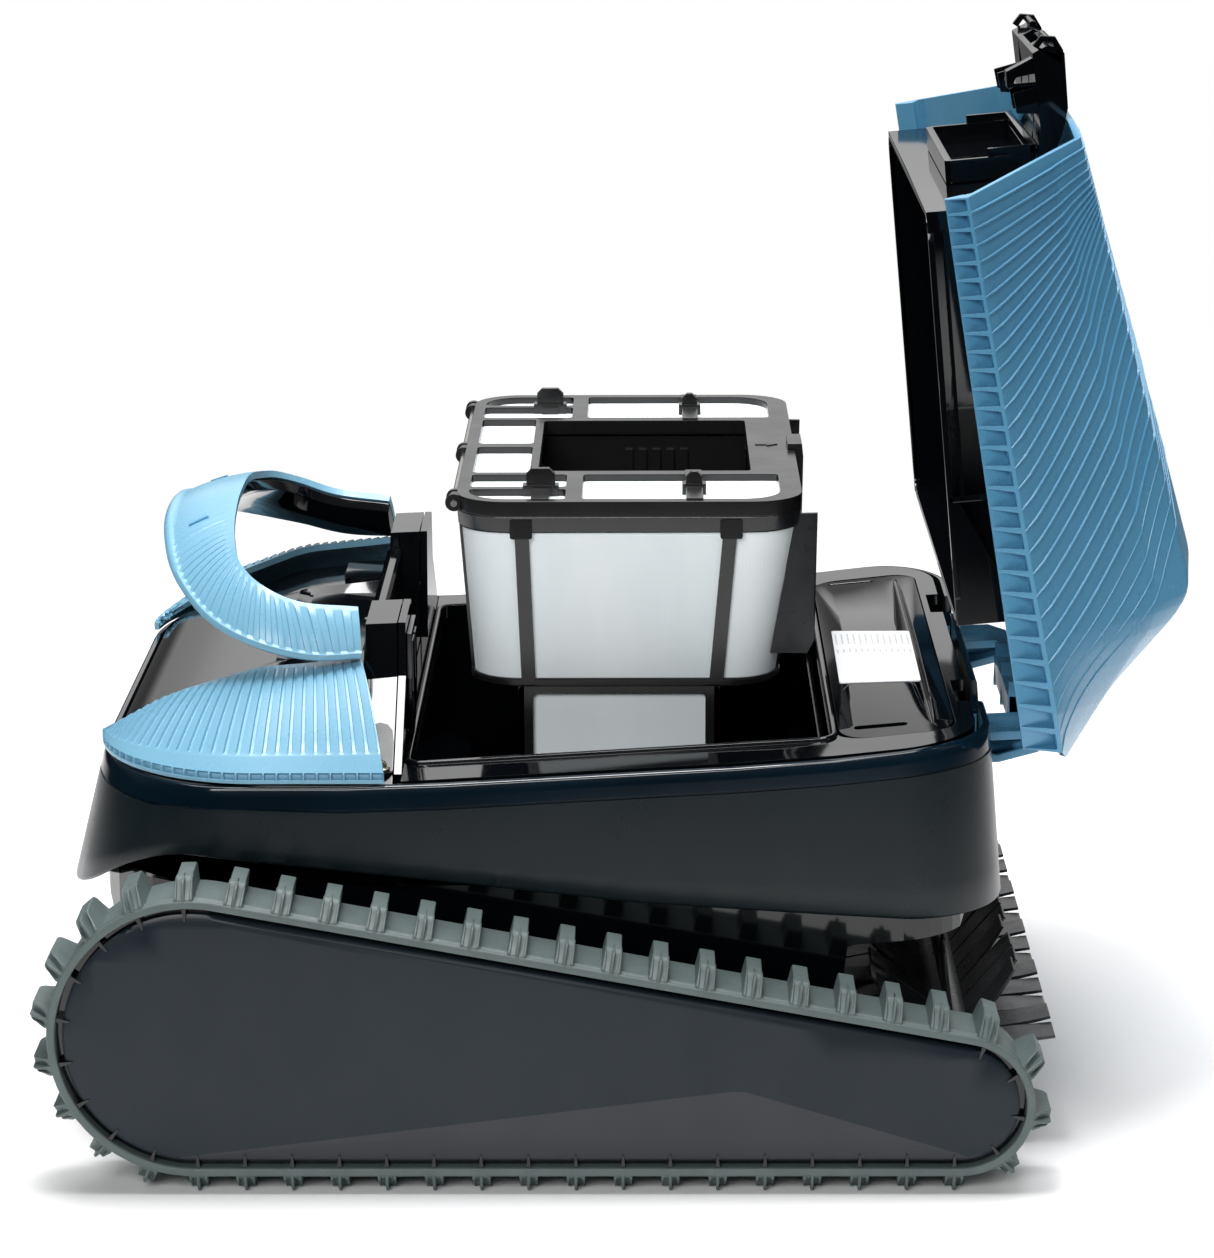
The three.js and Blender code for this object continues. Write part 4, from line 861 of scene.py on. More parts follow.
def fender_point(u, v):
    """Point of the fender at u along it and v across it, from its inner edge to its outer edge."""
    ex, ey = fender_edge(u)
    ix, iy = -76 - 106 * u, float(graph([(0, 113), (0.35, 111), (1, 98)], u))
    high = float(soft([(0, 198), (0.4, 194), (0.75, 181), (1, 164)], u, 0.06))
    z = high + (162 - high) * v ** 1.5
    return np.array([ix + (ex - ix) * v, iy + (ey - iy) * v, z])


def fender_normal(u, v):
    """The way out of the fender's face."""
    u0, u1, v0, v1 = max(u - 0.01, 0), min(u + 0.01, 1), max(v - 0.01, 0), min(v + 0.01, 1)
    n = np.cross(fender_point(u1, v) - fender_point(u0, v), fender_point(u, v1) - fender_point(u, v0))
    n *= -1 if n[2] < 0 else 1
    return n / np.linalg.norm(n)


def fender():
    """The ribbed fender, with the small windows down its outer edge."""
    across = [0, 0.03, 0.07, 0.12, 0.18, 0.26, 0.36, 0.46, 0.56, 0.66, 0.76, 0.84, 0.86, 0.875, 0.885]
    phases = [(0, 0), (0.14, 0), (0.2, 1), (0.5, 0.85), (0.84, 0.6), (0.9, 0)]
    face, back = [], []
    for k in range(RIBS):
        for phase, height in phases + ([(1, 0)] if k == RIBS - 1 else []):
            u = (k + phase) / RIBS
            row, under = [], []
            for v in across:
                fade = float(ease((v - 0.04) / 0.09)) * (1 if v < 0.85 else 0)
                lift = 1.15 * height * fade if v < 0.85 else PROUD
                p, n = fender_point(u, v), fender_normal(u, v)
                row.append(p + n * lift)
                under.append(p - n * THICK)
            n = fender_normal(u, 0.95) * np.array([1, 1, 0.15])
            sunk = WINDOW_CUT if WINDOW_START < phase < WINDOW_END else PROUD
            for v, lift in ((0.985, PROUD), (0.987, sunk), (1.0, sunk)):
                row.append(fender_point(u, v) + n * lift)
                under.append(fender_point(u, v) - n * THICK)
            ex, ey = fender_edge(u)
            out = n * np.array([1, 1, 0])
            for z, lift in ((160.0, sunk), (159.8, PROUD), (158.5, 0.8)):
                row.append(np.array([ex, ey, z]) + out * lift)
                under.append(np.array([ex, ey, z]) - out * THICK)
            face.append(row)
            back.append(under)
    return slab(np.array(face), np.array(back))


# The fender takes the painted-light blue, a lighter copy of the lid's blue plastic.
pairs(("fender_panel", fender(), "hull", BLUE_PAINTED_LIGHT, "fender", "blue_plastic",
       {"bevel": 0.22, "segments": 1, "angle": 0.6}))

# ---- handle
HANDLE_PITCH = 5.7
HANDLE_INNER = [(-77, 108, 219), (-102, 110, 222), (-117, 106, 228), (-127, 92, 234), (-132, 65, 240),
                (-134, 30, 246), (-134, 0, 248)]
HANDLE_OUTER = [(-75, 120, 200), (-95, 123, 200), (-117, 123, 205), (-137, 112, 212), (-156, 80, 224),
                (-165, 40, 235), (-167, 0, 239)]


def curve_point(points, t):
    """A centripetal curve through the points, the same one that the part is drawn with."""
    points = np.asarray(points, float)
    at = min(max(t, 0), 1) * (len(points) - 1)
    k = min(int(at), len(points) - 2)
    f = at - k
    p1, p2 = points[k], points[k + 1]
    p0 = points[k - 1] if k > 0 else 2 * p1 - p2
    p3 = points[k + 2] if k + 2 < len(points) else 2 * p2 - p1
    d0, d1, d2 = (np.linalg.norm(b - a) ** 0.5 for a, b in ((p0, p1), (p1, p2), (p2, p3)))
    m1 = ((p1 - p0) / d0 - (p2 - p0) / (d0 + d1) + (p2 - p1) / d1) * d1
    m2 = ((p2 - p1) / d1 - (p3 - p1) / (d1 + d2) + (p3 - p2) / d2) * d1
    return p1 + m1 * f + (-3 * p1 + 3 * p2 - 2 * m1 - m2) * f**2 + (2 * p1 - 2 * p2 + m1 + m2) * f**3


def whole_handle(points):
    """The left half of a line and its mirror image."""
    return points + [(x, -y, z) for x, y, z in reversed(points[:-1])]


HANDLE_IN, HANDLE_OUT = whole_handle(HANDLE_INNER), whole_handle(HANDLE_OUTER)


def handle_frame(t):
    """The band's two edges at t along it, and the way out of its face."""
    a, b = curve_point(HANDLE_IN, t), curve_point(HANDLE_OUT, t)
    along = curve_point(HANDLE_OUT, min(t + 0.01, 1)) - curve_point(HANDLE_OUT, max(t - 0.01, 0))
    normal = np.cross(along, b - a)
    normal *= -1 if normal[2] < 0 else 1
    return a, b, normal / np.linalg.norm(normal)


def crown_of_band(v):
    """How far the band's face rises at v across it."""
    return 2.2 * 4 * v * (1 - v)


def handle_steps(pitch):
    """Places along the band at an even pitch measured on its outer edge."""
    fine = np.linspace(0, 1, 600)
    points = np.array([curve_point(HANDLE_OUT, t) for t in fine])
    run = np.concatenate([[0], np.cumsum(np.linalg.norm(np.diff(points, axis=0), axis=1))])
    count = int(round(run[-1] / pitch))
    marks = []
    for k in range(count):
        for phase, height in ((0, 0), (0.06, 1), (0.5, 1), (0.56, 0)):
            marks.append((float(np.interp((k + phase) / count * run[-1], run, fine)), height))
    marks.append((1.0, 0))
    return marks


def handle_band():
    """The ribbed blue top of the handle."""
    across = [0, 0.015, 0.05, 0.1, 0.16, 0.3, 0.45, 0.6, 0.72, 0.8, 0.86, 0.885, 0.93, 0.97, 1.0]
    face, back = [], []
    for t, height in handle_steps(HANDLE_PITCH):
        a, b, normal = handle_frame(t)
        side = min(t, 1 - t) * 2
        strong = 1 - float(ease((side - 0.6) / 0.28))
        row, under = [], []
        for v in across:
            rib = float(ease((v - 0.08) / 0.1)) * (1 if v < 0.87 else 0)
            lift = crown_of_band(v) + (0.75 * height * strong - 0.3) * rib
            if v > 0.87:
                lift += 1.0 * math.sin(math.pi * (v - 0.87) / 0.13)
            row.append(a + (b - a) * v + normal * lift)
            w = 0.03 + 0.94 * v
            under.append(a + (b - a) * w + normal * (crown_of_band(w) - 3.4))
        face.append(row)
        back.append(under)
    return slab(np.array(face), np.array(back))


def handle_slot(mirror):
    """A small slot near the apex of the band, in the lid's blue. It reads darker than the band because it
    lacks the band's painted light.
    """
    a, b, normal = handle_frame(0.40)
    along = curve_point(HANDLE_OUT, 0.41) - curve_point(HANDLE_OUT, 0.39)
    along /= np.linalg.norm(along)
    across = (b - a) / np.linalg.norm(b - a)
    centre = a + (b - a) * 0.5 + normal * 2.4
    ring = rectangle(-0.75, 0.75, -4.6, 4.6, 0.7, 4)
    layers = [[centre + along * p + across * q + normal * lift for p, q in ring] for lift in (-1.5, 0.15)]
    return Solid().join(bar(layers), mirror=mirror)


# The handle band takes the painted-light blue. Its slots keep the lid's blue, so they read darker.
piece("handle_band", handle_band(), "hull", BLUE_PAINTED_LIGHT, "handle", "blue_plastic", bevel=0.2, segments=1, angle=0.7)
slots = Solid().join(handle_slot(False)).join(handle_slot(True))
piece("handle_slots", slots, "hull", BLUE, bevel=0.1, segments=1)


def liner():
    """The dark underside of the handle."""
    face, back = [], []
    for t in np.linspace(0, 1, 90):
        a, b, normal = handle_frame(t)
        low = np.array([0.08, 0.2, 0.35, 0.5, 0.65, 0.8, 0.92])
        face.append([a + (b - a) * v + normal * (crown_of_band(v) - 4.0) for v in low])
        inner = [0.14 + (v - 0.08) * 0.86 for v in low]
        back.append([a + (b - a) * v + normal * (-9.0 + 1.8 * abs(2 * v - 1)) for v in inner])
    return slab(np.array(face), np.array(back))


piece("handle_underside", liner(), "hull", GLOSS, "handle_liner", "gloss_black", bevel=0.6)

# ---- tracks
FRONT_WHEEL, REAR_WHEEL = (-140.0, 64.0, 55.0), (168.5, 35.5, 26.5)
LUGS, LUG_PHASE, LUG_TOP = 46, -2.2, 11


def top_angle():
    """The direction from either wheel's centre to where the belt's top run leaves it."""
    (xa, za, ra), (xb, zb, rb) = FRONT_WHEEL, REAR_WHEEL
    return math.atan2(zb - za, xb - xa) + math.acos((ra - rb) / math.hypot(xb - xa, zb - za))


def track_loop(grow, step):
    """Points round both wheels, grown by so much, each with its outward direction."""
    points = []
    top = top_angle()
    for (x, z, r), start, end in ((REAR_WHEEL, -math.pi / 2, top), (FRONT_WHEEL, top, 1.5 * math.pi)):
        count = max(2, round((r + grow) * abs(end - start) / step))
        for a in np.linspace(start, end, count + 1):
            points.append((x + (r + grow) * math.cos(a), z + (r + grow) * math.sin(a), a))
    return points


def lug_axes(a):
    """The way along the belt and the way out of it, where it faces the direction a."""
    return np.array([math.sin(a), 0, -math.cos(a)]), np.array([math.cos(a), 0, math.sin(a)])


def lug_places():
    """Where each lug stands on the belt's inner line, with its outward direction."""
    (xa, za, ra), (xb, zb, rb) = FRONT_WHEEL, REAR_WHEEL
    top = top_angle()
    p = np.array([xb + rb * math.cos(top), zb + rb * math.sin(top)])
    q = np.array([xa + ra * math.cos(top), za + ra * math.sin(top)])
    lengths = [rb * (top + math.pi / 2), np.linalg.norm(q - p), ra * (1.5 * math.pi - top), xb - xa]
    whole = sum(lengths)
    for i in range(LUGS):
        s = (whole + LUG_PHASE + i * whole / LUGS) % whole
        if s < lengths[0]:
            a = -math.pi / 2 + s / rb
            yield xb + rb * math.cos(a), zb + rb * math.sin(a), a
            continue
        s -= lengths[0]
        if s < lengths[1]:
            x, z = p + (q - p) * s / lengths[1]
            yield x, z, top
            continue
        s -= lengths[1]
        if s < lengths[2]:
            a = top + s / ra
            yield xa + ra * math.cos(a), za + ra * math.sin(a), a
            continue
        yield xa + s - lengths[2], za - ra, 1.5 * math.pi


# The belt's section, as height over its inner face and distance from the centre plane: two low ridges
# run along its outer edge.
BELT = [(0, 173.4), (0.5, 173), (2.2, 173), (2.6, 173.4), (2.6, 197.6), (3.3, 198.3), (3.4, 199.2),
        (3.3, 200.1), (2.5, 200.8), (2.5, 202.4), (3.4, 203.1), (3.6, 203.9), (3.2, 204.8), (2.6, 205),
        (0.5, 205), (0, 204.4)]


def wedge(profile, low, high, grow=0.0):
    """A bar with a side profile of (y, height), from low to high along the belt, wider at its foot."""
    near = [(low - grow * (LUG_TOP - h), y, h) for y, h in profile]
    far = [(high + grow * (LUG_TOP - h), y, h) for y, h in profile]
    return bar([near, far])


def lug():
    """One lug, as (along the belt, y, height): its block, a fin and a cheek on either side."""
    block = [(173.8, 1.4), (204.2, 1.4), (204.4, 3.8), (202.4, 5.0), (199.6, 6.8), (197.4, 9.2), (196, 10.6),
             (194.6, 11), (176.6, 11), (175.2, 10.4), (174.2, 9)]
    fin = [(190, 1.4), (204.7, 1.4), (204.8, 4.6), (203.4, 8.2), (201.6, 10.4), (200, 11), (190, 11)]
    cheek = [(192, 1.4), (204.5, 1.4), (204.5, 4.4), (202.6, 6.0), (200, 7.8), (197.8, 9.9), (195.8, 10.8),
             (192, 10.8)]
    out = wedge(block, -3.1, 3.1, 0.06)
    out.join(wedge(fin, -0.55, 0.55, 0.02))
    for low, high in ((-3.4, -2.8), (2.8, 3.4)):
        out.join(wedge(cheek, low, high, 0.05))
    return out


def loop_band(section):
    """A band round both wheels, of a section given as pairs of height and distance from the centre plane."""
    rings = []
    for x, z, a in track_loop(0, 3.2):
        rings.append([(x + h * math.cos(a), y, z + h * math.sin(a)) for h, y in section])
    return sweep(rings)


def track():
    """The belt and its lugs."""
    out = loop_band(BELT)
    shape = lug()
    flat = np.array(shape.points)
    for x, z, a in lug_places():
        along, outward = lug_axes(a)
        spot = np.array([x, 0, z])
        points = spot + flat[:, :1] * along + flat[:, 1:2] * np.array([0, 1, 0]) + flat[:, 2:] * outward
        out.add(points, shape.faces)
    return out


# The line along which the cover bends, from its rear end to its front end.
COVER_CREASE = [(-150, 13), (80, 42), (168, 15)]


def cover_depth(x, z):
    """The cover's face bends very slightly along the line between its upper and lower panels."""
    line = graph(COVER_CREASE, x)
    below = np.clip(line - z, 0, 60)
    above = np.clip(z - line, 0, 60)
    arc = np.clip(np.hypot(x + 140, z - 64) - 44, 0, 12) * (z > 70) * (x < -100)
    return 203.5 - 0.035 * below - 0.006 * above - 0.02 * arc


def side_cover():
    """The flat panel inside the belt. Below its crease it takes a second slate, a painted shade difference for
    the way that panel faces the light.
    """
    edge = [(x, z) for x, z, _ in track_loop(-2.7, 2.5)]
    lip = [(x, z) for x, z, _ in track_loop(-4.4, 3)]
    line = [(x, float(graph(COVER_CREASE, x))) for x in np.linspace(-145, 166, 60)]
    uv, tris = fill(edge, (), [lip + lip[:1], line], (14, 14))
    face = np.array([(x, z) for x, z, _ in track_loop(-3.4, 2.5)])

    def front(q):
        near = np.min(np.hypot(q[:, :1] - face[:, 0], q[:, 1:] - face[:, 1]), 1)
        rim = ~inside(q, face)
        depth = cover_depth(q[:, 0], q[:, 1]) - 0.9 * rim * np.clip(near / 0.6, 0, 1)
        return np.column_stack([q[:, 0], depth, q[:, 1]])

    out = sheet(uv, tris, front, lambda q: np.column_stack([q[:, 0], np.full(len(q), 188.2), q[:, 1]]))
    middles = np.array([np.mean([out.points[i] for i in f], 0) for f in out.faces])
    low = middles[:, 2] < graph(COVER_CREASE, middles[:, 0])
    # Faces below the crease take the second slate, the painted shade.
    out.slots = [int(v) for v in low]
    return out


def gap_ring():
    """The dark seal between belt and cover, with a small tooth beside each lug."""
    out = loop_band([(-2.6, 190), (-0.1, 190), (-0.1, 199), (-2.6, 199)])
    tooth = [(-0.3, -5.4), (0.3, -5.4), (0.9, -0.3), (-0.9, -0.3)]
    for x, z, a in lug_places():
        if a == top_angle():
            continue
        along, outward = lug_axes(a)
        rings = []
        for y in (198.5, 203.9):
            rings.append([np.array([x, y, z]) + along * p + outward * h for p, h in tooth])
        out.join(bar(rings))
    return out


pairs(
    ("belt", track(), "hull", TRACK, "track", "track_rubber", {"bevel": 0.3, "segments": 1, "angle": 0.6}),
    # The cover's second slate is a painted shade for its lower panel.
    ("track_panel", side_cover(), "hull", [SLATE, SLATE_PAINTED_SHADE], "side_cover", "slate_plastic",
     {"bevel": 0, "angle": 0.9}),
    ("track_seal", gap_ring(), "hull", GLOSS, None, None, {"bevel": 0}),
)

# ---- filter basket
BASKET = {"x0": -36.0, "x1": 107.0, "half": 116.0, "corner": 21.0, "waist": 184.0}
BASKET_HIGH = 257.5


def basket_ring(z, inset):
    """Plan of the basket's wall at a height, in the same number of points at every height."""
    t = (BASKET_HIGH - z) / (BASKET_HIGH - BASKET["waist"])
    x0, x1 = BASKET["x0"] + 5 * t + inset, BASKET["x1"] - 9 * t - inset
    half, r = BASKET["half"] - 11 * t - inset, BASKET["corner"] - inset
    corners = [(x1 - r, half - r), (x0 + r, half - r), (x0 + r, r - half), (x1 - r, r - half)]
    points = []
    for quarter, (cx, cy) in enumerate(corners):
        for a in np.linspace(0, math.pi / 2, 11) + quarter * math.pi / 2:
            points.append((cx + r * math.cos(a), cy + r * math.sin(a), z))
        nx, ny = corners[(quarter + 1) % 4]
        a = (quarter + 1) * math.pi / 2
        start = np.array(points[-1][:2])
        end = np.array([nx + r * math.cos(a), ny + r * math.sin(a)])
        for f in np.linspace(0, 1, 14)[1:-1]:
            points.append((*(start + (end - start) * f), z))
    return points


def ring_band(levels):
    """A ring-shaped wall: levels are (z, inset) pairs round its section."""
    return sweep(np.array([basket_ring(z, inset) for z, inset in levels]).transpose(1, 0, 2))


def post(x, y, wide):
    """An upright bar of the basket's wall at a place on its rim plan, following the wall's taper."""
    low, high, proud, thick = 185, 256, 0.25, 2.4

    def spot(z):
        t = (BASKET_HIGH - z) / (BASKET_HIGH - BASKET["waist"])
        cx = (BASKET["x0"] + BASKET["x1"] - 4 * t) / 2
        sx = (BASKET["x1"] - BASKET["x0"] - 14 * t) / (BASKET["x1"] - BASKET["x0"])
        sy = (BASKET["half"] - 11 * t) / BASKET["half"]
        return np.array([cx + (x - 35.5) * sx, y * sy, z])

    if abs(y) > 100:
        normal, side = np.array([0, math.copysign(1, y), 0]), np.array([1, 0, 0])
    else:
        normal, side = np.array([1 if x > 35 else -1, 0, 0]), np.array([0, 1, 0])
    rings = []
    for z in np.linspace(low, high, 5):
        base = spot(z)
        section = [(-wide, -thick), (wide, -thick), (wide, proud), (-wide, proud)]
        rings.append([base + side * a + normal * b for a, b in section])
    return bar(rings)


RIM_BAND = [(251.6, 2.6), (258.4, 2.6), (258.5, 0.3), (258.3, 0.0), (252.4, 0.0), (251.6, 0.5)]
FOOT_BAND = [(184, 2.6), (187.2, 2.6), (187.4, 0.4), (186.6, -0.3), (184.6, -0.3), (184, 0.2)]
wall_frame = ring_band(RIM_BAND).join(ring_band(FOOT_BAND))
wall_frame.join(both(post(-9, 116, 2.9)).join(both(post(77.4, 116, 2.9))))
for y in (-85, -4.5, 4.5, 85):
    wall_frame.join(post(-36, y, 2.4)).join(post(107, y, 2.4))
for x in (-9, 77.4):
    clip = plate(rectangle(x - 4.6, x + 4.6, 249.4, 257.4, 1), 114.6, 116.7, "y")
    wall_frame.join(both(clip))
# The open tunnel through the basket's middle: its two ends and half its width.
x0, x1, h = -3.8, 87.3, 55.0
tunnel_walls = [(x0 - 2, x0, -h - 2, h + 2), (x1, x1 + 2, -h - 2, h + 2), (x0, x1, h, h + 2),
                (x0, x1, -h - 2, -h)]
for a, b, c, d in tunnel_walls:
    wall_frame.join(brick(a, b, c, d, 184, BASKET_HIGH))
floor_plan = [(x, y) for x, y, _ in basket_ring(184, 2.0)]
mouth = [rectangle(x0 - 1.9, x1 + 1.9, -h - 1.9, h + 1.9)]
mouth += [rectangle(-5, 68, s * 62, s * 99, 3) for s in (-1, 1)]
wall_frame.join(plate(floor_plan, 184.1, 186.5, "z", mouth))
for i in range(5):
    wall_frame.join(brick(33 + i * 6.2, 36.4 + i * 6.2, h - 2.2, h + 0.2, 190, 252))
piece("basket_wall", wall_frame, "basket", FRAME, "basket_frame", "frame_black", bevel=0.35)

cloth_wall = ring_band([(187, 2.4), (251.6, 2.4), (251.6, 1.5), (187, 1.5)])
piece("basket_cloth", cloth_wall, "basket", CLOTH, "basket_mesh", "filter_cloth", bevel=0)

lower = Solid()
for a, b in ((-11, -8.6), (70.6, 73)):
    lower.join(both(brick(a, b, 57, 104, 110, 183.6)))
lower.join(brick(-11, -1.5, -57, 57, 110, 183.6)).join(brick(66.5, 73, -57, 57, 110, 183.6))
lower.join(both(brick(-8.6, 70.6, 55, 57.4, 110, 183.6)))
side_hole, floor_hole = rectangle(-5, 67, 116, 180.5, 2), rectangle(10, 56, 64, 96, 3)
lower.join(both(plate(rectangle(-11, 73, 110, 183.6, 1.5), 101.6, 104, "y", [side_hole])))
lower.join(both(plate(rectangle(-8.6, 70.6, 57.4, 101.6), 110, 112.4, "z", [floor_hole])))
piece("basket_pods", lower, "basket", FRAME, "basket_lower", "frame_black", bevel=0.4)

PANELS = [(-31, 9, 62, 86), (-31, 9, 91, 110), (16, 98, 62, 110), (-31, -7, 4, 57), (-31, -7, -57, -4),
          (-31, 9, -86, -62), (-31, 9, -110, -91), (16, 98, -110, -62)]


def window(a0, a1, b0, b1):
    """A window of the cover, its corner rounded where it lies near the cover's own corner."""
    points = []
    for x, y, sx, sy in ((a1, b1, 1, 1), (a0, b1, -1, 1), (a0, b0, -1, -1), (a1, b0, 1, -1)):
        near_x = (sx < 0 and x < -25) or (sx > 0 and x > 92)
        near_y = abs(y) > 105 and sy * y > 0
        r = 16.0 if near_x and near_y else 2.0
        cx, cy = x - sx * r, y - sy * r
        start = math.atan2(sy, sx) - math.pi / 4
        for a in np.linspace(start, start + math.pi / 2, 9 if r > 5 else 4):
            points.append((cx + r * math.cos(a), cy + r * math.sin(a)))
    return points


cover = plate([(x, y) for x, y, _ in basket_ring(BASKET_HIGH, 0.0)], 258.6, 265, "z",
              [window(*p) for p in PANELS] + [rectangle(x0 + 0.5, x1 - 0.5, 0.5 - h, h - 0.5, 2)])
for s in (-1, 1):
    for x, y, wide, high in ((-1.4, 88.5, 12, 8.5), (62.4, 86, 7, 6.5)):
        left, right, tip = x - wide / 2, x + wide / 2, 265 + high
        outline = [(left, 262), (right, 262), (right, tip - 2.4), (right - 2.4, tip), (left + 2.4, tip),
                   (left, tip - 2.4)]
        cover.join(plate(outline, s * y - 1.7, s * y + 1.7, "y"))
        cover.join(brick(left - 1.5, right + 1.5, s * y - 3.4, s * y + 3.4, 262, 266.6))
    cover.join(brick(58.9, 65.9, s * 56, s * 113, 260, 265.8))
    cover.join(brick(-5, 2.5, s * 84, s * 113, 260, 265.6))
for y in (-96, 0, 96):
    for part in (-4.6, 0, 4.6):
        cover.join(rod((-37, y + part - 1.6, 261.6), (-37, y + part + 1.6, 261.6), 3.7 if part else 3.3, 20))
arrow = [(90, -1.4), (95, -1.4), (95, -4), (100, 0), (95, 4), (95, 1.4), (90, 1.4)]
cover.join(plate(arrow, 264.6, 265.5, "z"))
piece("basket_lid_frame", cover, "cover", FRAME, "basket_cover", "frame_black", bevel=0.45)

veil = plate([(x, y) for x, y, _ in basket_ring(BASKET_HIGH, 2.6)], 261.4, 262, "z",
             [rectangle(x0 - 3, x1 + 3, -h - 3, h + 3)], (9, 9))
piece("cover_cloth", veil, "cover", CLOTH, "basket_cover_mesh", "filter_cloth", bevel=0)


def wing_sheet():
    """The soft sheet that stands out from the basket's side."""
    outline = [(94, 197), (109.5, 197), (112.4, 203), (113.4, 256.5), (103.5, 256.5), (100, 230)]
    uv, tris = fill(outline, (), (), (3, 5))
    x, z = uv[:, 0], uv[:, 1]
    bend = 100 + 1.2 * np.sin((z - 184) / 18) * np.clip((x - 104) / 8, 0, 1)
    return sheet(uv, tris, lambda _: np.column_stack([x, bend + 0.8, z]),
                 lambda _: np.column_stack([x, bend - 0.8, z]))


pairs(("wing", wing_sheet(), "basket", SOFT, "basket_wing", "dark_rubber", {"bevel": 0.2, "segments": 1}))

# ---- hood
FLANK = [(-184, 155), (-176, 159), (-160, 168), (-120, 184), (-76, 188), (-56, 190)]
SPINE = [(-184, 157), (-176, 165), (-150, 174), (-113, 185), (-75.8, 189), (-74.2, 211), (-50, 212)]


def hood_half(x):
    """Half the width of the raised hood."""
    return float(graph([(-184, 90), (-150, 97), (-76, 106)], x))


def deck_half(x):
    """Half the width of the front deck, up to the fenders."""
    cx, cy = BODY["front"] + BODY["rx"], BODY["half"] - BODY["ry"]
    slope = 15 / 91
    upright = (x - slope * -110) / (1 - slope)
    reach = min(1, max(0, (cx - upright) / (BODY["rx"] - 3)))
    return min(0.988 * (cy + (BODY["ry"] - 3) * math.sqrt(1 - reach * reach)) - 1.5, 157)


def deck_height(x, y):
    """Height of the hood and the deck beside it, with the well behind the hood."""
    a, hood, half = abs(y), float(graph(SPINE, x)), hood_half(x)
    well = float(graph([(-116, hood), (-111, 183), (-73.6, 183), (-69.5, 163), (-50, 163)], x))
    sunk = hood if x < -116 else well
    flank = float(graph(FLANK, x))
    levels = [(60, sunk), (65, hood), (half, hood), (half + 4, flank), (deck_half(x), 153.5)]
    return float(graph(levels, a))


def deck_rows(xs, drop):
    """Rows across the deck, lowered by so much."""
    rows = []
    for x in xs:
        half, outer = hood_half(x), deck_half(x)
        ys = [0, 15, 30, 45, 57, 60, 62.5, 65, 68, 80, 92, half - 2, half, half + 1.4, half + 2.8, half + 4]
        ys += [half + 4 + (outer - half - 4) * f for f in (0.2, 0.4, 0.6, 0.8, 1)]
        ys = [-y for y in reversed(ys[1:])] + ys
        rows.append([(x, y, deck_height(x, y) - drop) for y in ys])
    return np.array(rows)


deck_xs = [-180.5, -178, -174, -169, -164, -156, -148, -139, -130, -123, -116, -111, -103, -95, -85, -77,
           -75.8, -75, -74.2, -73, -71, -69.5, -65, -61.2]
# Each screw's place on the left, and the arch round it in plan, where a matte dark sheet is painted shade for
# the pocket there.
SCREW_X, SCREW_Y = -67, 148
SCREW_POCKET_SHADE = [(-73.6, 156), (-73.6, 137), (-73, 133), (-70.8, 130.4), (-67.4, 129.4), (-64, 130.4), (-61.9, 133),
        (-61.4, 137), (-61.4, 156)]
hood = slab(deck_rows(deck_xs, 0), deck_rows(deck_xs, 3))
for s in (-1, 1):
    uv, tris = fill([(x, s * y) for x, y in SCREW_POCKET_SHADE], (), (), (3, 3))
    height = np.array([deck_height(x, y) for x, y in uv])
    # A matte dark sheet over the arch, 0.9 mm proud: painted shade standing in for the pocket's face.
    hood.join(level_sheet(uv, tris, height, 0.9, 2), slot=1)
    hood.join(rod((SCREW_X, s * SCREW_Y, 154), (SCREW_X, s * SCREW_Y, 160.2), 6.4, 32))
bridge = [(-80, 183), (-69, 183), (-69, 203), (-70.2, 204.8), (-73, 205), (-75.5, 203.5), (-77, 196)]
hood.join(plate(bridge, -60.5, 60.5, "y"))
floor_holes = [rectangle(-104, -92, -24, -8, 5.9, 6), rectangle(-102, -88, -48, -45.4, 1.2, 3)]
hood.join(plate(rectangle(-109, -80, -57, 57, 4), 182, 184.6, "z", floor_holes))
for y0, y1 in ((66.5, 100), (-100, -66.5)):
    hood.join(plate(rectangle(-96, -76, y0, y1, 3), 187, 189.6))
for y in (24, -12):
    hood.join(rod((-78, y, 183), (-78, y, 188.5), 2.6, 20))
    hood.join(rod((-78, y, 188.3), (-78, y, 190), 3.4, 20))
hood.join(rod((-78, 24, 189), (-78, -12, 189), 1.0, 12))
# The hood's second material is the matte one for the painted-shade arch round each screw.
piece("hood_shell", hood, "hull", [GLOSS, HULL], "front_deck", "gloss_black", bevel=0.6, angle=0.4)

# The screw's washer, head and socket, as radius and height.
SCREW = [(4.8, 160.3), (4.8, 161.2), (4.2, 161.6), (3.5, 161.7), (3.4, 162.8), (2.7, 163.9), (1.6, 164.4),
         (1.3, 164.4), (1.25, 163)]
turns = np.linspace(0, 2 * math.pi, 28, endpoint=False)
for side, s in (("right", -1), ("left", 1)):
    rings = []
    for r, z in SCREW:
        rings.append([(SCREW_X + r * math.cos(a), s * SCREW_Y + r * math.sin(a), z) for a in turns])
    piece(f"screw_head_{side}", bar(rings), "hull", BRASS, f"screw_{side}", "steel",
          bevel=0.12, segments=1)

blade = [(-103, 206), (-70, 206), (-67, 200), (-67, 176), (-74, 166), (-86, 160), (-97, 164), (-103, 178)]
clasp = plate(blade, -57.4, -55.4, "x")
clasp.join(plate([(-99, 202), (-88, 202), (-87, 180), (-92, 169), (-99, 180)], -55.8, -55.0, "x"))
clasp.join(plate([(-84, 202), (-74, 202), (-73, 182), (-79, 176), (-84, 182)], -55.8, -54.9, "x"))
piece("clasp_blades", clasp, "hull", SMOKED, "hood_clasp", "smoked_plastic", bevel=0.5)

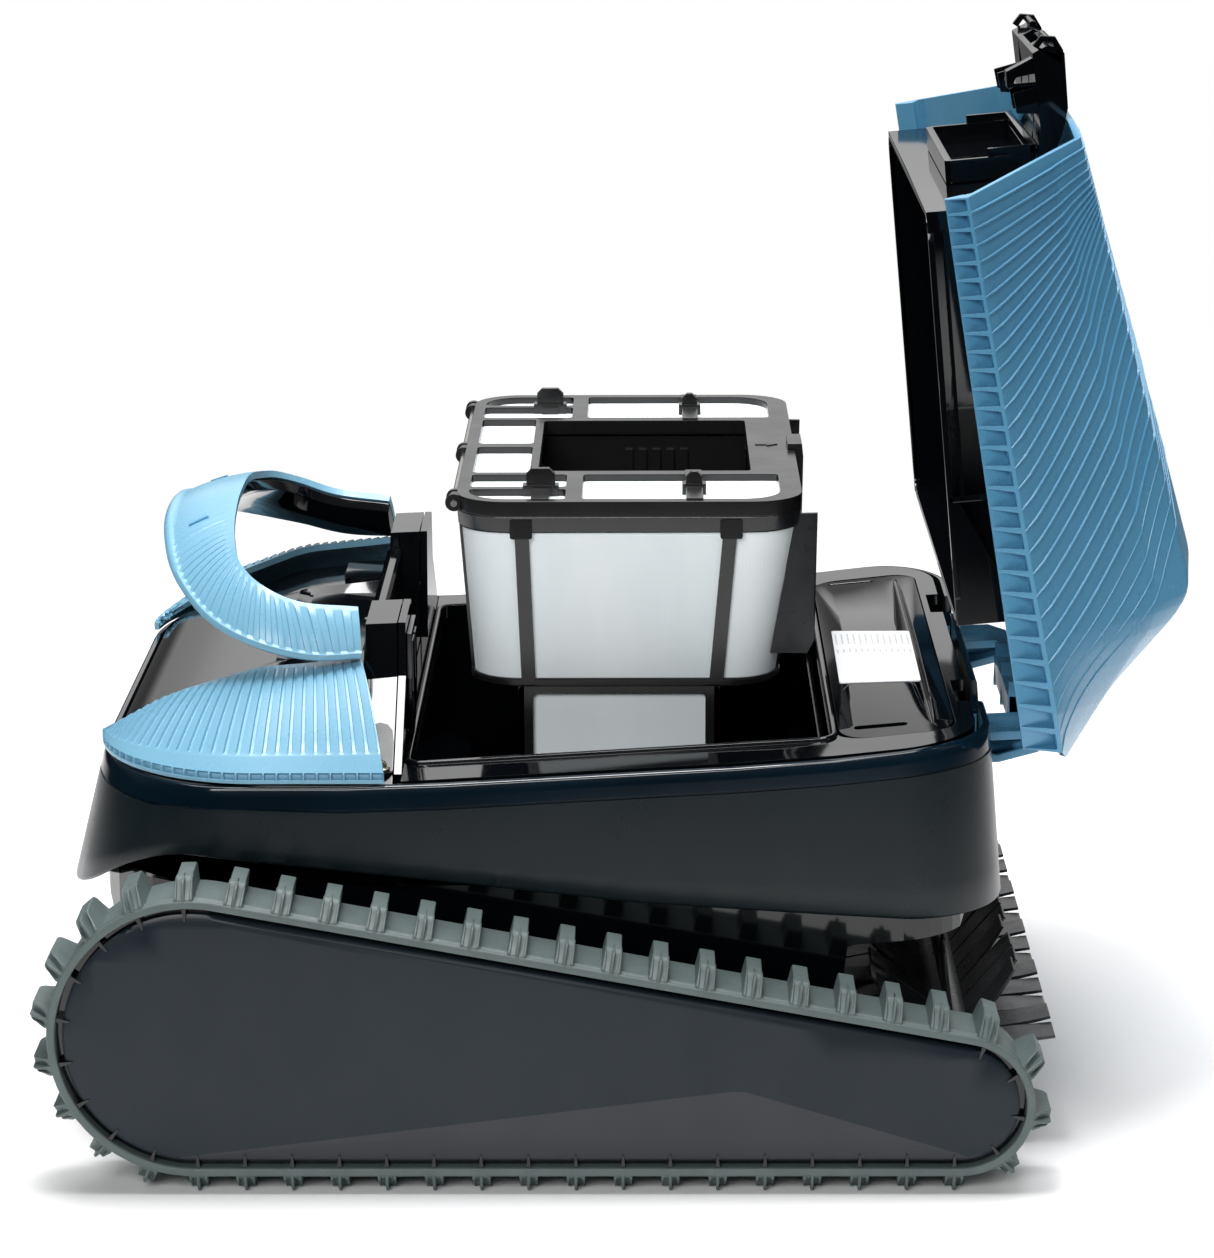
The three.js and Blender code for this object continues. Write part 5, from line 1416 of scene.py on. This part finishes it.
# ---- top frame and rear panel
frame_plan = [(lean(x, 1), y) for x, y in body_outline(6.4) if x > -57]
frame_plan = sorted([p for p in frame_plan if p[1] > 0], key=lambda p: math.atan2(p[1], p[0] - 60))
frame_plan += [(-57.4, 158.6)]
frame_plan += [(x, -y) for x, y in reversed(frame_plan)]
notch = []
for x, y in frame_plan:
    notch.append((min(x, 172.4) if 60 < abs(y) < 94.2 else x, y))
bay_mouth = rectangle(-54.8, 118.5, -134, 134, 5, 6)
panel_hole = rectangle(120.7, 169.8, -137.8, 137.8, 13, 8)
uv, tris = fill(notch, [bay_mouth, panel_hole], (), (11, 12))
level = np.array([rim_height(x) + 1 for x, _ in uv])
top = level_sheet(uv, tris, level, 0, 5)
bead = []
after, before = np.roll(bay_mouth, -1, 0), np.roll(bay_mouth, 1, 0)
along = (after - before) / np.linalg.norm(after - before, axis=1)[:, None]
outward = np.column_stack([along[:, 1], -along[:, 0]])
for p, n in zip(bay_mouth, outward):
    z = rim_height(p[0]) + 1
    ring = [(-0.1, -3), (-0.1, 0.9), (0.4, 1.5), (1.3, 1.6), (2.2, 1.2), (2.9, 0), (2.9, -3)]
    bead.append([(p[0] + n[0] * a, p[1] + n[1] * a, z + b) for a, b in ring])
top.join(sweep(bead))
piece("top_rim", top, "hull", GLOSS, "top_frame", "gloss_black", bevel=0.5)

slots = [rectangle(128, 150, s * 123.6, s * 127.4, 1.8, 4) for s in (-1, 1)]
seam = [[(160 + d, -126), (160 + d, 126)] for d in (-0.7, -0.25, 0.25, 0.7)]
uv, tris = fill(rectangle(121.5, 169, -137, 137, 13, 8), slots, seam, (8, 7))


def panel_height(q):
    """Height of the rear panel, crowned across its width."""
    edge = rim_height(q[:, 0]) + 0.8
    return edge + (179 - edge) * (1 - (q[:, 1] / 137) ** 2)


crown = panel_height(uv) - 0.6 * (np.abs(uv[:, 0] - 160) < 0.4) * (np.abs(uv[:, 1]) < 127)
panel = level_sheet(uv, tris, crown, 0, 3)
label_uv, label_tris = fill(rectangle(124.5, 159, -73, 6, 1.2, 3), (), (), (6, 6))
film = panel_height(label_uv)
label = level_sheet(label_uv, label_tris, film, 0.35, 0.2)
piece("label_film", label, "hull", LABEL, "rating_label", "label_white", bevel=0)
for s in (-1, 1):
    panel.join(brick(127, 151, s * 123, s * 128, 160, 166.6))
piece("rear_panel", panel, "hull", GLOSS, "rear_deck", "gloss_black", bevel=0.7, segments=3)

# ---- brush
BRUSH_X, BRUSH_Z = 170, 40
BRUSH_ROWS, BLADES, BLADE_PITCH, BLADE_WIDE = 8, 16, 18.8, 18.4
brush = Solid()
for half, r, sides in ((151, 11, 40), (169, 4.6, 24)):
    brush.join(rod((BRUSH_X, -half, BRUSH_Z), (BRUSH_X, half, BRUSH_Z), r, sides))
for row in range(BRUSH_ROWS):
    angle = 0.122 + row * math.pi / 4
    for k in range(BLADES):
        y0 = -150 + k * BLADE_PITCH
        rings = []
        for f in np.linspace(0, 1, 6):
            r = 9.5 + 32.4 * f
            bend = angle + 0.05 * math.sin(2.1 * k + 1.7 * row) * f * f
            ux, uz = math.cos(bend), math.sin(bend)
            half = 1.1 - 0.5 * f
            gap = 0.2 + 0.5 * f
            ys = (y0 + gap, y0 + BLADE_WIDE / 2, y0 + BLADE_WIDE - gap)
            ring = [(BRUSH_X + ux * r - uz * half, y, BRUSH_Z + uz * r + ux * half) for y in ys]
            ring += [(BRUSH_X + ux * r + uz * half, y, BRUSH_Z + uz * r - ux * half) for y in reversed(ys)]
            rings.append(ring)
        brush.join(bar(rings))
piece("brush_roller", brush, "brush", SOFT, "rear_brush", "dark_rubber", bevel=0.2, segments=1)

# ---- inside of the lid
tray = both(plate(rectangle(-54, 116, 153, 184.5), 127.8, 130, "y"))
for a, b in ((-54, -51.8), (113.8, 116)):
    tray.join(plate([(-130, 153), (130, 153), (130, 184), (118, 201), (-118, 201), (-130, 184)], a, b, "x"))
for s in (-1, 1):
    slope = [(s * 130, 184), (s * 118, 201), (s * 117, 199), (s * 127.9, 183)]
    tray.join(bar([[(x, y, z) for y, z in slope] for x in (-54, 116)]))
tray.join(brick(-54, 116, -118, 118, 199, 201))
tray_mouth = [rectangle(-51.8, 113.6, -127.8, 127.8, 5)]
tray.join(plate(rectangle(-53.6, 116.6, -131.8, 131.8, 13), 152.6, 155, "z", tray_mouth))
gusset = [(60, 152.8), (116, 152.8), (116, 178), (96, 172), (66, 158)]
for s in (-1, 1):
    tray.join(plate(gusset, s * 129.6, s * 131.6, "y"))
    tray.join(brick(-46, 64, s * 129.6, s * 131.8, 158, 159.6))
    tray.join(brick(62, 64.5, s * 129.6, s * 131.8, 153, 176))
piece("tray", tray, "lid", GLOSS, "lid_tray", "gloss_black", bevel=0.6)

duct = plate(rectangle(-58, 58, 166, 204, 2.5), -64, -54.4, "x", [rectangle(-55, 55, 169, 201, 1)])
duct.join(brick(-55.6, -54.4, -55.5, 55.5, 168.5, 201.5))
for a, b, c, d in ((-58, -55.2, 184, 204), (55.2, 58, 184, 204), (-58, 58, 201.2, 204)):
    duct.join(brick(-67.6, -63.8, a, b, c, d))
piece("duct", duct, "lid", GLOSS, "lid_duct", "gloss_black", bevel=0.5)

cheek = [(-104, 206), (-72, 207.4), (-66, 206.4), (-60, 205), (-60, 212), (-70, 216.6), (-80, 219.4),
         (-103, 219.4), (-107, 213)]
spine = both(plate(cheek, 18, 48, "y"))
middle = [(-88, 206.4), (-70, 207.2), (-62, 205), (-62, 212), (-70, 216.6), (-80, 219.4), (-88, 219.4)]
spine.join(plate(middle, -18.2, 18.2, "y"))
spine.join(plate([(-104, 206), (-88, 206.4), (-88, 208.2), (-105, 208.2)], -18.2, 18.2, "y"))
claw = [(-102, 207), (-95, 207), (-94, 199), (-90, 197), (-90, 195), (-97, 195), (-99, 200)]
spine.join(plate(claw, -44, -36, "y"))
spine.join(plate([(-92, 196), (-90.4, 196), (-90.4, 212), (-92, 212)], -47, -20, "y"))
for y in (-47.4, -30, 30, 46):
    spine.join(plate([(-88, 197), (-79.5, 198), (-78.6, 207.5), (-90, 207.5)], y, y + 1.6, "y"))
spine.join(both(plate([(-107, 206.4), (-111, 210), (-110, 216), (-104, 219), (-98, 218)], 45, 48, "y",
                      [[(-106, 209), (-108.4, 211), (-107.6, 214.6), (-103.6, 215.6)]])))
for y0, y1 in ((-45, -20), (20, 45)):
    spine.join(rod((-108.6, y0, 213), (-108.6, y1, 213), 1.6, 16))
for z0 in (199, 203):
    spine.join(plate([(-85, z0), (-79.4, z0 - 0.5), (-79, z0 + 1.8), (-84, z0 + 2.4)], -26, -12, "y"))
piece("spine_block", spine, "lid", GLOSS, "lid_spine", "gloss_black", bevel=0.5)

# ---- hinge
ARM = [(183, 153), (186.4, 162), (187, 168), (184, 185), (181.5, 187.6), (177.5, 188), (174, 180),
       (173.2, 163), (173.4, 152), (177, 148.5)]
RECESS = [(181.4, 158), (183.6, 168), (181, 182), (177.8, 181), (177.2, 164)]
for side, s in (("left", 1), ("right", -1)):
    arm = plate(ARM, s * 64.5, s * 89.5, "y")
    for inner in (89.5, 62):
        arm.join(plate(ARM, s * inner, s * (inner + 2.5), "y", [RECESS]))
    arm.join(rod(HINGE + (0, s * 60, 0), HINGE + (0, s * 94, 0), 6.2, 36))
    piece(f"arm_{side}", arm, "lid", BLUE, f"hinge_arm_{side}", "blue_plastic", bevel=0.6)
web = plate([(174, 178), (186, 177.4), (187.4, 184), (184.5, 190), (176, 189)], -34, 36, "y")
for y in (-34, 0, 34):
    web.join(plate([(168, 179), (187.8, 176.6), (188.6, 186), (184.5, 192), (170, 190)], y, y + 2.4, "y"))
piece("hinge_web", web, "lid", BLUE, slot="blue_plastic", bevel=0.6)
